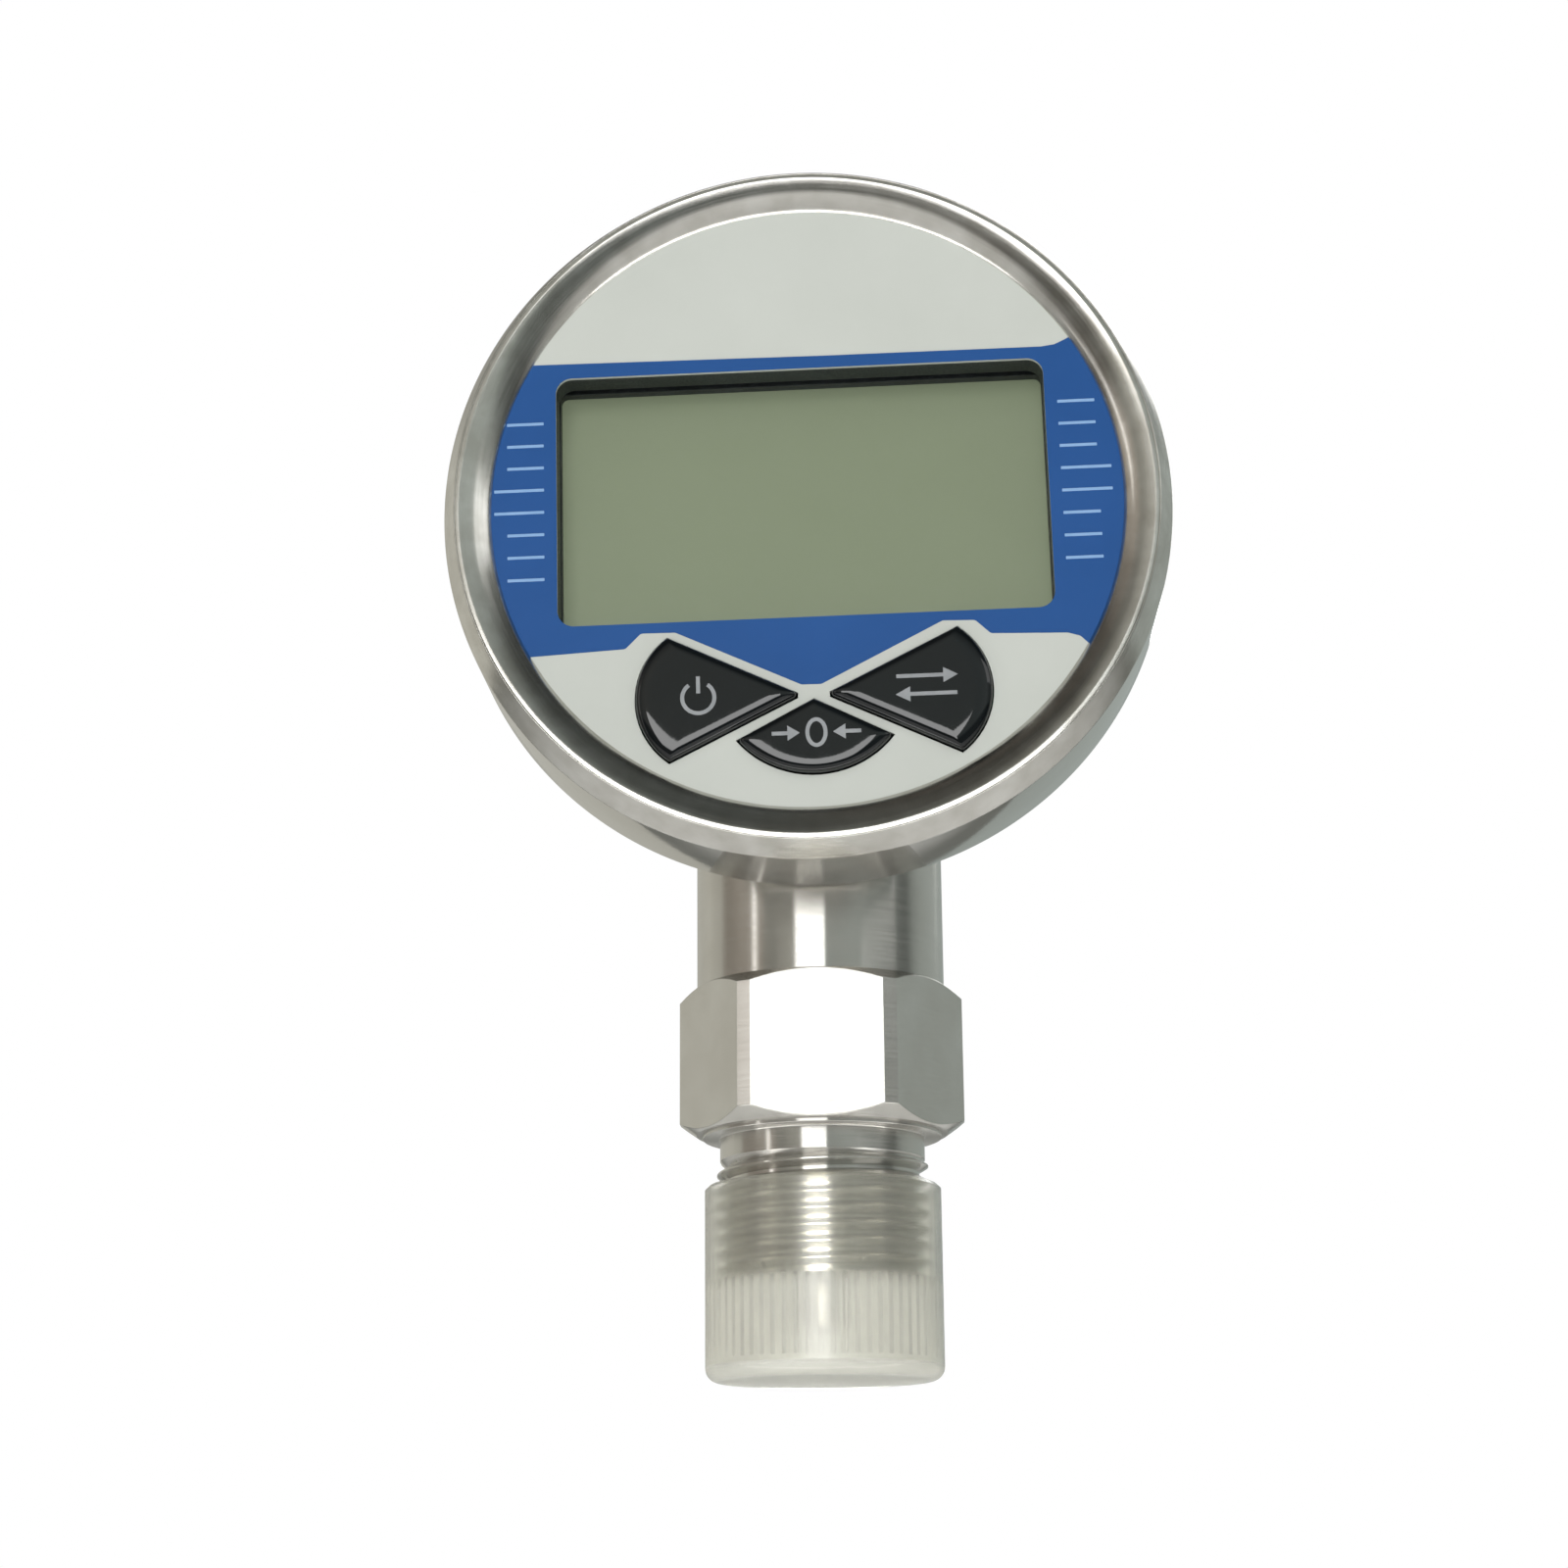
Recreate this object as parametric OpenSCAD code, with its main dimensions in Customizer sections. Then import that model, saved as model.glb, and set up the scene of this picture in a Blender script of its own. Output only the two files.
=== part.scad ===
// Digital pressure gauge with a round steel case, a display, three keys and a threaded stem.
// Units are millimetres. The stem stands on Z, the display faces -Y, and the origin is the
// middle of the hexagon's sealing shoulder.

/* [Stem] */
// Outside diameter of the connection thread
thread_d = 19.9; // [18:0.1:21]
// Length of the thread, without its relief
thread_l = 11.2; // [9:0.2:16]
// Length of the relief between the shoulder and the thread
relief_l = 2.1; // [2.1:0.1:3]
// Depth of the relief below the thread's outside
relief_depth = 0.3; // [0.2:0.05:0.9]
// Chamfer at the end of the thread
thread_chamfer = 0.8; // [0.4:0.1:1.2]
// Diameter of the pilot at the end of the stem
pilot_d = 6; // [5:0.2:8]
// Length of the pilot
pilot_l = 4.5; // [2:0.1:5.5]
// Diameter of the pressure port
port_d = 3; // [2:0.1:4]
// Hexagon, across its flats
hex_af = 24; // [23:0.1:27]
// Diameter across the hexagon's rounded corners
hex_corner_d = 27.3; // [26.6:0.1:27.6]
// Height of the hexagon, with its washer face
hex_h = 14.2; // [11:0.2:18]
// Angle of the hexagon's chamfers above the horizontal
hex_chamfer_angle = 35; // [25:1:45]
// Height of the washer face below the hexagon
washer_h = 0.4; // [0.2:0.1:1]
// Step from the flats in to the washer face
washer_step = 0.7; // [0.3:0.1:1.2]
// Diameter of the neck
neck_d = 23.6; // [22.6:0.1:24]

/* [Case] */
// Height of the case's centre over the sealing shoulder
head_z = 55.1; // [52:0.1:70]
// Thickness of the case's sheet
case_t = 0.9; // [0.7:0.1:1.2]
// Distance from the stem's axis to the case's back
case_back = 13; // [12.6:0.2:16]
// Radius of the case's back edge
case_edge_r = 2; // [1.6:0.1:2.4]
// Distance from the stem's axis to the shoulder where the case narrows to the battery's width
shoulder_at = 5; // [4:0.1:5.4]
// Width of the flange round the case's front
flange_w = 1.15; // [0.8:0.05:1.6]
// Width of the rim round the battery opening in the back
rear_rim_w = 4; // [3.6:0.1:5]
// Thickness of the rear cover
rear_cover_t = 1; // [0.8:0.1:1.6]
// Thickness of the rear cover's gasket
rear_gasket_t = 0.5; // [0.4:0.1:1]

/* [Bezel ring] */
// Margin from the window's corner to the ring's opening
corner_margin = 2.5; // [2.4:0.1:5]
// Distance from the stem's axis to the ring's back edge
ring_back = 12.5; // [12:0.1:14]
// Thickness of the ring's sheet
ring_t = 0.8; // [0.6:0.05:1]
// Radius of the rolled edge inside its crest
roll_in_r = 2.1; // [1.9:0.05:2.3]
// Radius of the rolled edge outside its crest
roll_out_r = 1.1; // [1:0.05:1.3]
// Distance from the crest out to the ring's wall
crest_in = 2.05; // [1.9:0.05:2.2]
// Slope of the shoulder from the crest to the wall, in degrees
shoulder_angle = 64; // [60:1:68]
// Width of the ring, seen from the front
rim_w = 4.55; // [4.2:0.05:4.8]
// Height of the ring's crest over the dial
crest_h = 1.8; // [1.6:0.05:2.1]

/* [Dial] */
// Distance from the stem's axis to the front of the dial
dial_z = 24; // [23.6:0.1:26]
// Turn of the dial in the case, in degrees
dial_turn = 1.1; // [0:0.1:2]
// Thickness of the printed overlay
overlay_t = 0.4; // [0.3:0.05:0.6]
// Thickness of the face plate
plate_t = 2.5; // [2.2:0.1:2.6]
// Thickness of the clear pane
pane_t = 1; // [0.8:0.1:1.2]
// Thickness of the ring's gasket
gasket_t = 1; // [0.8:0.1:1.2]
// Width of the ring's gasket
gasket_w = 1.8; // [1.4:0.1:1.8]
// Width of the display window
window_w = 45.2; // [40:0.2:52]
// Height of the display window
window_h = 24.3; // [20:0.1:28]
// Radius of the window's corners
window_r = 1.5; // [0.8:0.1:2]
// Place of the window's middle to the side of the dial's centre
window_x = -0.35; // [-0.6:0.05:0.6]
// Place of the window's middle above the dial's centre
window_y = 1; // [0:0.1:1.4]

/* [Keys] */
// Drop from the window's lower edge to the point where the keys meet
key_drop = 7.4; // [7:0.1:7.8]
// Distance from the meeting point to the tip of a side key
side_tip = 1.2; // [1:0.05:1.6]
// Half of a side key's angle
side_half_angle = 26; // [24:0.5:27]
// Radius of a side key's outer arc
side_arc_r = 7.25; // [6.8:0.05:7.6]
// Distance from the meeting point to the centre of that arc
side_arc_at = 8.8; // [8.4:0.05:9.2]
// Drop from the meeting point to the tip of the middle key
middle_tip = 0.45; // [0.35:0.05:0.8]
// Half of the middle key's angle
middle_half_angle = 62.7; // [61:0.1:64]
// Radius of the middle key's lower arc
middle_arc_r = 9; // [8.4:0.1:9.4]
// Rise from the meeting point to the centre of that arc
middle_arc_rise = 1.65; // [1.4:0.05:2]
// Height of a key's edge over the dial
key_edge_h = 0.25; // [0.1:0.05:0.4]
// Height of a key's dome over its edge
key_dome_h = 0.75; // [0.4:0.05:0.9]
// Travel of a key
key_travel = 0.35; // [0.2:0.05:0.4]
// Gap round a key in the overlay and the plate
key_gap = 0.12; // [0.08:0.02:0.16]
// Width of a key's flange past its outline
key_flange_w = 0.34; // [0.28:0.02:0.36]
// Thickness of a key's flange
key_flange_t = 0.8; // [0.6:0.1:0.9]
// Depth of the pocket for the flanges in the plate's back
key_pocket_h = 1.3; // [1.2:0.05:1.4]

/* [Display] */
// Distance from the dial's front back to the display's front
display_depth = 5; // [4.8:0.1:5.4]
// Radius of the corners of the display's frame
display_r = 0.7; // [0.4:0.1:1.4]
// Thickness of each of the display's two glasses
glass_t = 1.1; // [0.7:0.1:1.2]
// Overlap of the display's glass past the window, on each side
glass_lap = 1.35; // [1.2:0.05:1.6]
// Wall of the display's frame
frame_wall = 1; // [0.8:0.1:1.1]
// Ledge of the front glass where the contact strips press
ledge_w = 2.8; // [2.6:0.1:3.2]

/* [Electronics] */
// Thickness of the circuit board
board_t = 1.6; // [1:0.1:2]
// Room from the display's back to the board
board_gap = 2.2; // [2:0.1:2.8]
// Gap between the board's rim and the case
board_rim_gap = 1.1; // [0.6:0.1:1.6]
// Diameter of the face plate's bosses
boss_d = 4.6; // [4.2:0.1:4.8]
// Inset of the bosses from the board's rim
boss_inset = 2.9; // [2.6:0.1:3.2]
// Diameter of the board screws
board_screw_d = 2; // [1.6:0.1:2.2]
// Width of a key switch
switch_w = 6; // [5:0.2:6.2]
// Height of a key switch's body
switch_h = 3.5; // [2.5:0.1:3.8]
// Diameter of a key switch's plunger
plunger_d = 3.4; // [2.5:0.1:3.6]
// Width of the controller chip
chip_w = 10; // [7:0.5:12]
// Height of the controller chip
chip_h = 1.4; // [1:0.1:1.6]

/* [Battery] */
// Diameter of a battery cell
cell_d = 10.5; // [10:0.1:10.8]
// Length of a battery cell
cell_l = 44.5; // [42:0.1:45]
// Wall of the battery tray
tray_wall = 1.2; // [1:0.1:1.4]
// Room from the board back to the tray's floor
tray_drop = 10.4; // [8:0.2:11]
// Thickness of a battery contact
contact_t = 0.4; // [0.3:0.05:0.5]

/* [Sensor] */
// Height of the sensor capsule
sensor_h = 10; // [8:0.2:11]
// Wall between the sensor and the neck's outside
neck_wall = 2.3; // [2.2:0.05:2.8]
// Height of the sensor's retaining ring
sensor_nut_h = 3; // [2:0.1:3.4]
// Section diameter of the sensor's O-ring
oring_d = 1; // [0.8:0.1:1.2]
// Width of the flat lead
lead_w = 8; // [5:0.5:9]
// Thickness of the flat lead
lead_t = 0.4; // [0.3:0.05:0.6]

/* [Thread cap] */
// Gap between the thread and the cap's wall
cap_gap = 0.6; // [0.58:0.02:0.8]
// Wall of the cap
cap_t = 0.55; // [0.5:0.05:1]
// Room in the cap past the pilot's end
cap_room = 3.3; // [3:0.1:6]
// Thickness of the cap's end
cap_end_t = 1.4; // [1:0.1:2]
// Thread left bare above the cap
cap_bare = 2.4; // [1.6:0.1:3]
// Number of ribs inside the cap, below the thread's end
rib_count = 60; // [40:2:66]
// Width of a rib
rib_w = 0.45; // [0.3:0.05:0.5]
// Length of the ribs
rib_l = 7.2; // [5:0.2:7.4]
// Radius of the cap's lower edge
cap_edge_r = 1.3; // [0.8:0.1:1.35]

/* [Hidden] */

$fn = 96;
// Steps of the arcs that are drawn as points
arc_steps = 7;
// Overrun of cuts
over = 1;
// Clearance of parts that are pushed together
fit_gap = 0.05;
// Clearance of parts that lie side by side
side_gap = 0.3;

// Stem
thread_r = thread_d / 2;
relief_r = thread_r - relief_depth;
thread_end_z = -relief_l - thread_l;
pilot_end_z = thread_end_z - pilot_l;
pilot_chamfer = 0.4;
washer_r = hex_af / 2 - washer_step;
hex_r = hex_corner_d / 2;
chamfer_step = 0.1;
chamfer_in_r = hex_af / 2 - chamfer_step;
chamfer_rise = (hex_r - chamfer_in_r) * tan(hex_chamfer_angle);
neck_r = neck_d / 2;
saddle_w = 1.2;
spigot_r = neck_r - saddle_w;
spigot_in = 3.6;
relief_blend = fit_gap;

// Ring and case
opening_r = norm([window_w / 2 + abs(window_x), window_h / 2 + abs(window_y)]) + corner_margin;
ring_r = opening_r + rim_w;
ring_in_r = ring_r - ring_t;
crest_x = ring_r - crest_in;
crest_z = dial_z + crest_h;
roll_in_z = crest_z - roll_in_r;
roll_out_z = crest_z - roll_out_r;
// Where the line from the lip's edge touches the inner part of the roll
lip_span = [crest_x - opening_r, roll_in_z - dial_z];
lip_angle = atan2(lip_span.y, lip_span.x) + asin(roll_in_r / norm(lip_span));
lip_touch = [crest_x - roll_in_r * sin(lip_angle), roll_in_z + roll_in_r * cos(lip_angle)];
// Where the shoulder leaves the outer part of the roll, and where it meets the wall
shoulder_x = crest_x + roll_out_r * sin(shoulder_angle);
shoulder_z = roll_out_z + roll_out_r * cos(shoulder_angle);
wall_top_z = shoulder_z - (ring_r - shoulder_x) * tan(shoulder_angle);
flange_r = ring_in_r - fit_gap;
flange_in_r = flange_r - case_t;
flange_back = ring_back + ring_t + fit_gap;
case_r = flange_r - flange_w;
case_in_r = case_r - case_t;
cell_room = 2 * fit_gap;
tray_out_l = cell_l / 2 + contact_t + cell_room + tray_wall;
tray_out_w = cell_d + side_gap + tray_wall;
back_in_r = norm([tray_out_l, tray_out_w]) + 2 * fit_gap;
back_r = back_in_r + case_t;
spigot_top_z = head_z - back_r + spigot_in;

// Layers of the dial, counted from the stem's axis to the front
overlay_back = dial_z - overlay_t;
plate_back = overlay_back - plate_t;
case_front = plate_back - gasket_t;
pane_back = plate_back - pane_t;
plate_rim_gap = 2 * side_gap;
plate_r = ring_in_r - plate_rim_gap;
overlay_lap = 1;
display_z = dial_z - display_depth;
display_back = display_z - 2 * glass_t;
board_front = display_back - board_gap;
board_back = board_front - board_t;
board_r = case_in_r - board_rim_gap;
pane_lap = glass_lap + frame_wall - fit_gap;

// Keys
key_y = window_y - window_h / 2 - key_drop;
key_x = 0.15;
key_top = dial_z + key_edge_h + key_dome_h;
key_pocket_top = plate_back + key_pocket_h;
key_pocket_g = key_flange_w + 4 * fit_gap;
key_flange_top = key_pocket_top - 2 * fit_gap;
key_flange_back = key_flange_top - key_flange_t;
side_middle = side_arc_at;
middle_middle = middle_tip + (middle_arc_r - middle_arc_rise - middle_tip) / 2;
side_dome_r = dome_radius(side_arc_r, key_dome_h);
middle_dome_r = dome_radius(middle_arc_r, key_dome_h);
plunger_top = key_flange_back - key_travel - fit_gap;

// Board
boss_at = board_r - boss_inset;
boss_margin = glass_lap + side_gap / 2 + frame_wall + boss_d / 2 + side_gap;
boss_up_y = window_y + window_h / 2 + boss_margin;
boss_low_y = window_y - window_h / 2 - boss_margin;
boss_up_x = sqrt(boss_at * boss_at - boss_up_y * boss_up_y);
boss_low_x = sqrt(boss_at * boss_at - boss_low_y * boss_low_y);
board_screw_r = board_screw_d / 2;
screw_head_r = board_screw_d;
screw_head_h = 1.5;
screw_bite = 4;

// Battery
tray_floor = board_back - tray_drop;
tray_floor_t = 1.2;
cell_z = tray_floor - tray_floor_t - fit_gap - cell_d / 2;
cell_y = cell_d / 2 + side_gap / 2;
contact_room = contact_t + cell_room;
tray_in_l = tray_out_l - tray_wall;
tray_in_w = tray_out_w - tray_wall;
tray_depth = cell_d * 0.85;
tray_post_r = 2;

// Sensor
sensor_r = neck_r - neck_wall;
sensor_sink = 0.6;
sensor_nut_top = spigot_top_z - sensor_sink;
sensor_top = sensor_nut_top - sensor_nut_h;
sensor_bottom = sensor_top - sensor_h;
diaphragm_r = sensor_r * 0.75;
diaphragm_h = 0.5;
groove_at = sensor_bottom + sensor_h * 0.3;
header_r = sensor_r * 0.5;
header_top = sensor_top + sensor_nut_h * 0.5;

// Cap
cap_in_r = thread_r + cap_gap;
cap_r = cap_in_r + cap_t;
cap_top_z = -relief_l - cap_bare;
cap_floor_z = pilot_end_z - cap_room;
cap_bottom_z = cap_floor_z - cap_end_t;
rib_in_r = thread_r - thread_chamfer - fit_gap;
rib_top_z = thread_end_z - 2 * fit_gap;
cap_lead = 0.35;

// Rear cover
flat_back_r = back_r - case_edge_r;
rear_opening_r = flat_back_r - rear_rim_w;
rear_screw_at = (rear_opening_r + flat_back_r) / 2;
rear_screw_r = 1;
rear_nut_r = (flat_back_r - rear_opening_r) / 2 - fit_gap;
rear_nut_h = 2.4;
rear_head_r = rear_nut_r;
rear_head_h = 1.3;
rear_gasket_r = flat_back_r - side_gap;
rear_cover_r = flat_back_r;
REAR_ANGLES = [90, 210, 330];

// Radius of the sphere whose cap has radius r and height h
function dome_radius(r, h) = (r * r + h * h) / (2 * h);

// Points of an arc about c from angle a0 to a1, without the first
function arc_points(c, r, a0, a1) = [
    for (i = [1:arc_steps])
        let (a = a0 + (a1 - a0) * i / arc_steps)
            [c.x + r * cos(a), c.y + r * sin(a)]
];

// Places its children in the case's own frame: x to the right, y up, z to the front
module in_case() {
    translate([0, 0, head_z]) rotate([90, 0, 0]) children();
}

// As in_case, with the small turn of the dial
module on_dial() {
    in_case() rotate([0, 0, dial_turn]) children();
}

// Tube from z0 up to z1
module tube(outer_r, inner_r, z0, z1) {
    translate([0, 0, z0]) difference() {
        cylinder(r = outer_r, h = z1 - z0);
        translate([0, 0, -over]) cylinder(r = inner_r, h = z1 - z0 + 2 * over);
    }
}

// Block of width w and height h about the window's middle, from z0 up to z1
module window_block(w, h, z0, z1) {
    translate([window_x - w / 2, window_y - h / 2, z0]) cube([w, h, z1 - z0]);
}

// Rectangle with round corners about the origin
module round_rect(w, h, r) {
    square([w - 2 * r, h], center = true);
    square([w, h - 2 * r], center = true);
    for (x = [-1, 1], y = [-1, 1]) translate([x * (w / 2 - r), y * (h / 2 - r)]) circle(r = r);
}

// Cut of the display window with corners of radius r, from z0 up to z1
module window_cut(r, z0, z1) {
    translate([window_x, window_y, z0]) linear_extrude(z1 - z0) round_rect(window_w, window_h, r);
}

// Outline of a key that points at the origin along +x, grown by g on every side:
// a wedge with its tip on the axis, inside a circle of radius r about the point m
module key_outline(tip, half_angle, r, m, g) {
    tip_g = tip - g / sin(half_angle);
    reach = abs(m) + 2 * r;
    spread = (reach - tip_g) * tan(half_angle);
    intersection() {
        polygon([[tip_g, 0], [reach, -spread], [reach, spread]]);
        translate([m, 0]) circle(r = r + g);
    }
}

// A side key lies along x from the meeting point, the middle key along -y
module side_outline(g) {
    key_outline(side_tip, side_half_angle, side_arc_r, side_arc_at, g);
}

module middle_outline(g) {
    rotate([0, 0, -90]) key_outline(middle_tip, middle_half_angle, middle_arc_r, -middle_arc_rise, g);
}

// Places its children at the point where the keys meet
module at_keys() {
    translate([key_x, key_y, 0]) children();
}

// Cuts for the three keys, grown by g, from z0 up to z1
module key_cuts(g, z0, z1) {
    at_keys() translate([0, 0, z0]) {
        linear_extrude(z1 - z0) side_outline(g);
        rotate([0, 0, 180]) linear_extrude(z1 - z0) side_outline(g);
        linear_extrude(z1 - z0) middle_outline(g);
    }
}

// Key with a flange behind the plate and a domed front about the point c
module key_solid(dome_r, c) {
    translate([0, 0, key_flange_back]) linear_extrude(key_flange_t) children(1);
    intersection() {
        translate([0, 0, key_flange_back]) linear_extrude(key_top - key_flange_back + over) children(0);
        translate([c.x, c.y, key_top - dome_r]) rotate([90, 0, 0]) sphere(r = dome_r, $fn = 240);
    }
}

module side_key() {
    key_solid(side_dome_r, [side_middle, 0]) {
        side_outline(0);
        side_outline(key_flange_w);
    }
}

module middle_key() {
    key_solid(middle_dome_r, [0, -middle_middle]) {
        middle_outline(0);
        middle_outline(key_flange_w);
    }
}

// Hexagon with chamfered and softened corners, from the washer face up
module hexagon() {
    across_corners = hex_af / cos(30);
    intersection() {
        translate([0, 0, washer_h]) cylinder(d = across_corners, h = hex_h - washer_h, $fn = 6);
        rotate_extrude() polygon([
            [0, washer_h],
            [chamfer_in_r, washer_h],
            [hex_r, washer_h + chamfer_rise],
            [hex_r, hex_h - chamfer_rise],
            [chamfer_in_r, hex_h],
            [0, hex_h]
        ]);
    }
}

// Turned part of the stem below and above the hexagon
module turned_stem() {
    rotate_extrude() polygon([
        [0, pilot_end_z],
        [pilot_d / 2 - pilot_chamfer, pilot_end_z],
        [pilot_d / 2, pilot_end_z + pilot_chamfer],
        [pilot_d / 2, thread_end_z],
        [thread_r - thread_chamfer, thread_end_z],
        [thread_r, thread_end_z + thread_chamfer],
        [thread_r, -relief_l],
        [relief_r, -relief_l + relief_blend],
        [relief_r, 0],
        [washer_r, 0],
        [washer_r, washer_h + over],
        [neck_r, washer_h + over],
        [neck_r, spigot_top_z],
        [0, spigot_top_z]
    ]);
}

// What is cut from the neck's top, so that it fits the case and leaves the spigot standing
module saddle_cut() {
    difference() {
        in_case() {
            cylinder(r = back_r, h = 4 * neck_r, center = true, $fn = 180);
            translate([0, 0, shoulder_at - case_t]) cylinder(r = case_r, h = 2 * neck_r, $fn = 180);
        }
        cylinder(r = spigot_r, h = spigot_top_z + over);
    }
}

module stem() color([0.72, 0.71, 0.66]) {
    difference() {
        union() {
            turned_stem();
            hexagon();
        }
        saddle_cut();
        // Pressure port from the pilot to the sensor
        translate([0, 0, pilot_end_z - over]) cylinder(d = port_d, h = sensor_bottom - pilot_end_z + over);
        // Chamber below the diaphragm
        translate([0, 0, sensor_bottom - diaphragm_h]) cylinder(r = diaphragm_r, h = diaphragm_h + over);
        // Socket of the sensor
        translate([0, 0, sensor_bottom]) {
            cylinder(r = sensor_r + fit_gap, h = spigot_top_z - sensor_bottom + over);
        }
    }
}

// Closed cap with ribs inside that stand below the thread's end
module thread_cap() color([0.84, 0.85, 0.8, 0.6]) {
    for (i = [1:rib_count]) rotate([0, 0, i * 360 / rib_count]) {
        translate([rib_in_r, -rib_w / 2, rib_top_z - rib_l]) cube([cap_in_r + cap_t / 2 - rib_in_r, rib_w, rib_l]);
    }
    rotate_extrude() {
        difference() {
            union() {
                polygon([
                    [0, cap_bottom_z + cap_edge_r],
                    [cap_r, cap_bottom_z + cap_edge_r],
                    [cap_r, cap_top_z - cap_lead],
                    [cap_in_r + cap_t / 3, cap_top_z],
                    [0, cap_top_z]
                ]);
                translate([0, cap_bottom_z]) square([cap_r - cap_edge_r, cap_edge_r + over]);
                translate([cap_r - cap_edge_r, cap_bottom_z + cap_edge_r]) circle(r = cap_edge_r);
            }
            translate([0, cap_floor_z]) square([cap_in_r, cap_top_z - cap_floor_z + over]);
            translate([-cap_r, cap_bottom_z - over]) square([cap_r, cap_top_z - cap_bottom_z + 2 * over]);
        }
    }
}

// Half section of the case's cup, x out and y to the front, from the battery opening round the
// back edge, along both walls to the flange, and back inside
module case_section() {
    edge = [flat_back_r, case_edge_r - case_back];
    lip_in_r = plate_r - gasket_w;
    polygon(concat(
        [[rear_opening_r, -case_back]],
        [[flat_back_r, -case_back]],
        arc_points(edge, case_edge_r, -90, 0),
        [
            [back_r, shoulder_at - case_t],
            [case_r, shoulder_at - case_t],
            [case_r, flange_back],
            [flange_r, flange_back],
            [flange_r, case_front],
            [lip_in_r, case_front],
            [lip_in_r, case_front - case_t],
            [flange_in_r, case_front - case_t],
            [flange_in_r, flange_back + case_t],
            [case_in_r, flange_back + case_t],
            [case_in_r, shoulder_at],
            [back_in_r, shoulder_at],
            [back_in_r, case_edge_r - case_back]
        ],
        arc_points(edge, case_edge_r - case_t, 0, -90),
        [[rear_opening_r, case_t - case_back]]
    ));
}

module case_shell() color([0.7, 0.69, 0.66]) {
    difference() {
        in_case() rotate_extrude($fn = 180) case_section();
        // Hole for the spigot
        translate([0, 0, head_z - case_r - over]) {
            cylinder(r = spigot_r + fit_gap, h = spigot_top_z - head_z + case_r + 2 * over);
        }
        in_case() for (a = REAR_ANGLES) rotate([0, 0, a]) {
            translate([rear_screw_at, 0, -case_back - over]) cylinder(r = rear_screw_r + fit_gap, h = case_t + 2 * over);
        }
    }
}

// Half section of the rolled ring: lip on the overlay, rolled front edge, wall, crimp behind
module ring_section() {
    lip_w = ring_t / sin(lip_angle);
    polygon(concat(
        [[opening_r, dial_z], lip_touch],
        arc_points([crest_x, roll_in_z], roll_in_r, 90 + lip_angle, 90),
        arc_points([crest_x, roll_out_z], roll_out_r, 90, 90 - shoulder_angle),
        [
            [ring_r, wall_top_z],
            [ring_r, ring_back],
            [case_r + fit_gap, ring_back],
            [case_r + fit_gap, ring_back + ring_t],
            [ring_in_r, ring_back + ring_t],
            [ring_in_r, wall_top_z - ring_t / 2],
            [shoulder_x - ring_t * sin(shoulder_angle), shoulder_z - ring_t * cos(shoulder_angle)],
            [crest_x, crest_z - ring_t],
            [lip_touch.x + ring_t * sin(lip_angle), lip_touch.y - ring_t * cos(lip_angle)],
            [opening_r + lip_w, dial_z]
        ]
    ));
}

module bezel_ring() color([0.68, 0.66, 0.62]) {
    in_case() rotate_extrude($fn = 180) ring_section();
}

module bezel_gasket() color([0.1, 0.1, 0.1]) {
    in_case() tube(plate_r, plate_r - gasket_w, case_front, plate_back);
}

module overlay() color([0.82, 0.83, 0.8]) {
    on_dial() difference() {
        translate([0, 0, overlay_back]) cylinder(r = opening_r + overlay_lap, h = overlay_t);
        window_cut(window_r, overlay_back - over, dial_z + over);
        key_cuts(key_gap, overlay_back - over, dial_z + over);
    }
}

// Places its children at each boss of the face plate
module at_bosses() {
    for (s = [-1, 1]) {
        translate([s * boss_up_x, boss_up_y, 0]) children();
        translate([s * boss_low_x, boss_low_y, 0]) children();
    }
}

module face_plate() color([0.1, 0.11, 0.12]) {
    on_dial() difference() {
        union() {
            translate([0, 0, plate_back]) cylinder(r = plate_r, h = plate_t);
            at_bosses() translate([0, 0, board_front]) cylinder(d = boss_d, h = plate_back - board_front + over);
        }
        window_cut(window_r, plate_back - over, overlay_back + over);
        key_cuts(key_gap, plate_back - over, overlay_back + over);
        // Pocket for the flanges
        key_cuts(key_pocket_g, plate_back - over, key_pocket_top);
        at_bosses() translate([0, 0, board_front - over]) {
            cylinder(r = board_screw_r + fit_gap, h = screw_bite + 2 * over);
        }
    }
}

module window_pane() color([0.8, 0.88, 0.9, 0.3]) {
    on_dial() window_block(window_w + 2 * pane_lap, window_h + 2 * pane_lap, pane_back, plate_back);
}

module lcd_frame() color([0.12, 0.14, 0.16]) {
    pocket_w = window_w + 2 * glass_lap + side_gap;
    pocket_h = window_h + 2 * glass_lap + side_gap;
    on_dial() difference() {
        window_block(pocket_w + 2 * frame_wall, pocket_h + 2 * frame_wall, board_front, pane_back);
        window_block(pocket_w, pocket_h, board_front - over, display_z);
        window_cut(display_r, board_front - over, pane_back + over);
    }
}

module lcd_glass() color([0.53, 0.58, 0.46]) {
    glass_w = window_w + 2 * glass_lap;
    glass_h = window_h + 2 * glass_lap;
    on_dial() {
        window_block(glass_w, glass_h, display_z - glass_t, display_z);
        window_block(glass_w, glass_h - 2 * ledge_w, display_back, display_z - glass_t);
    }
}

module lcd_contact_strips() color([0.85, 0.5, 0.6]) {
    strip_w = ledge_w - 2 * side_gap;
    strip_at = window_h / 2 + glass_lap - ledge_w / 2;
    on_dial() for (s = [-1, 1]) translate([window_x, window_y + s * strip_at, board_front]) {
        translate([-window_w / 2, -strip_w / 2, 0]) cube([window_w, strip_w, display_z - glass_t - board_front]);
    }
}

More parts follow.
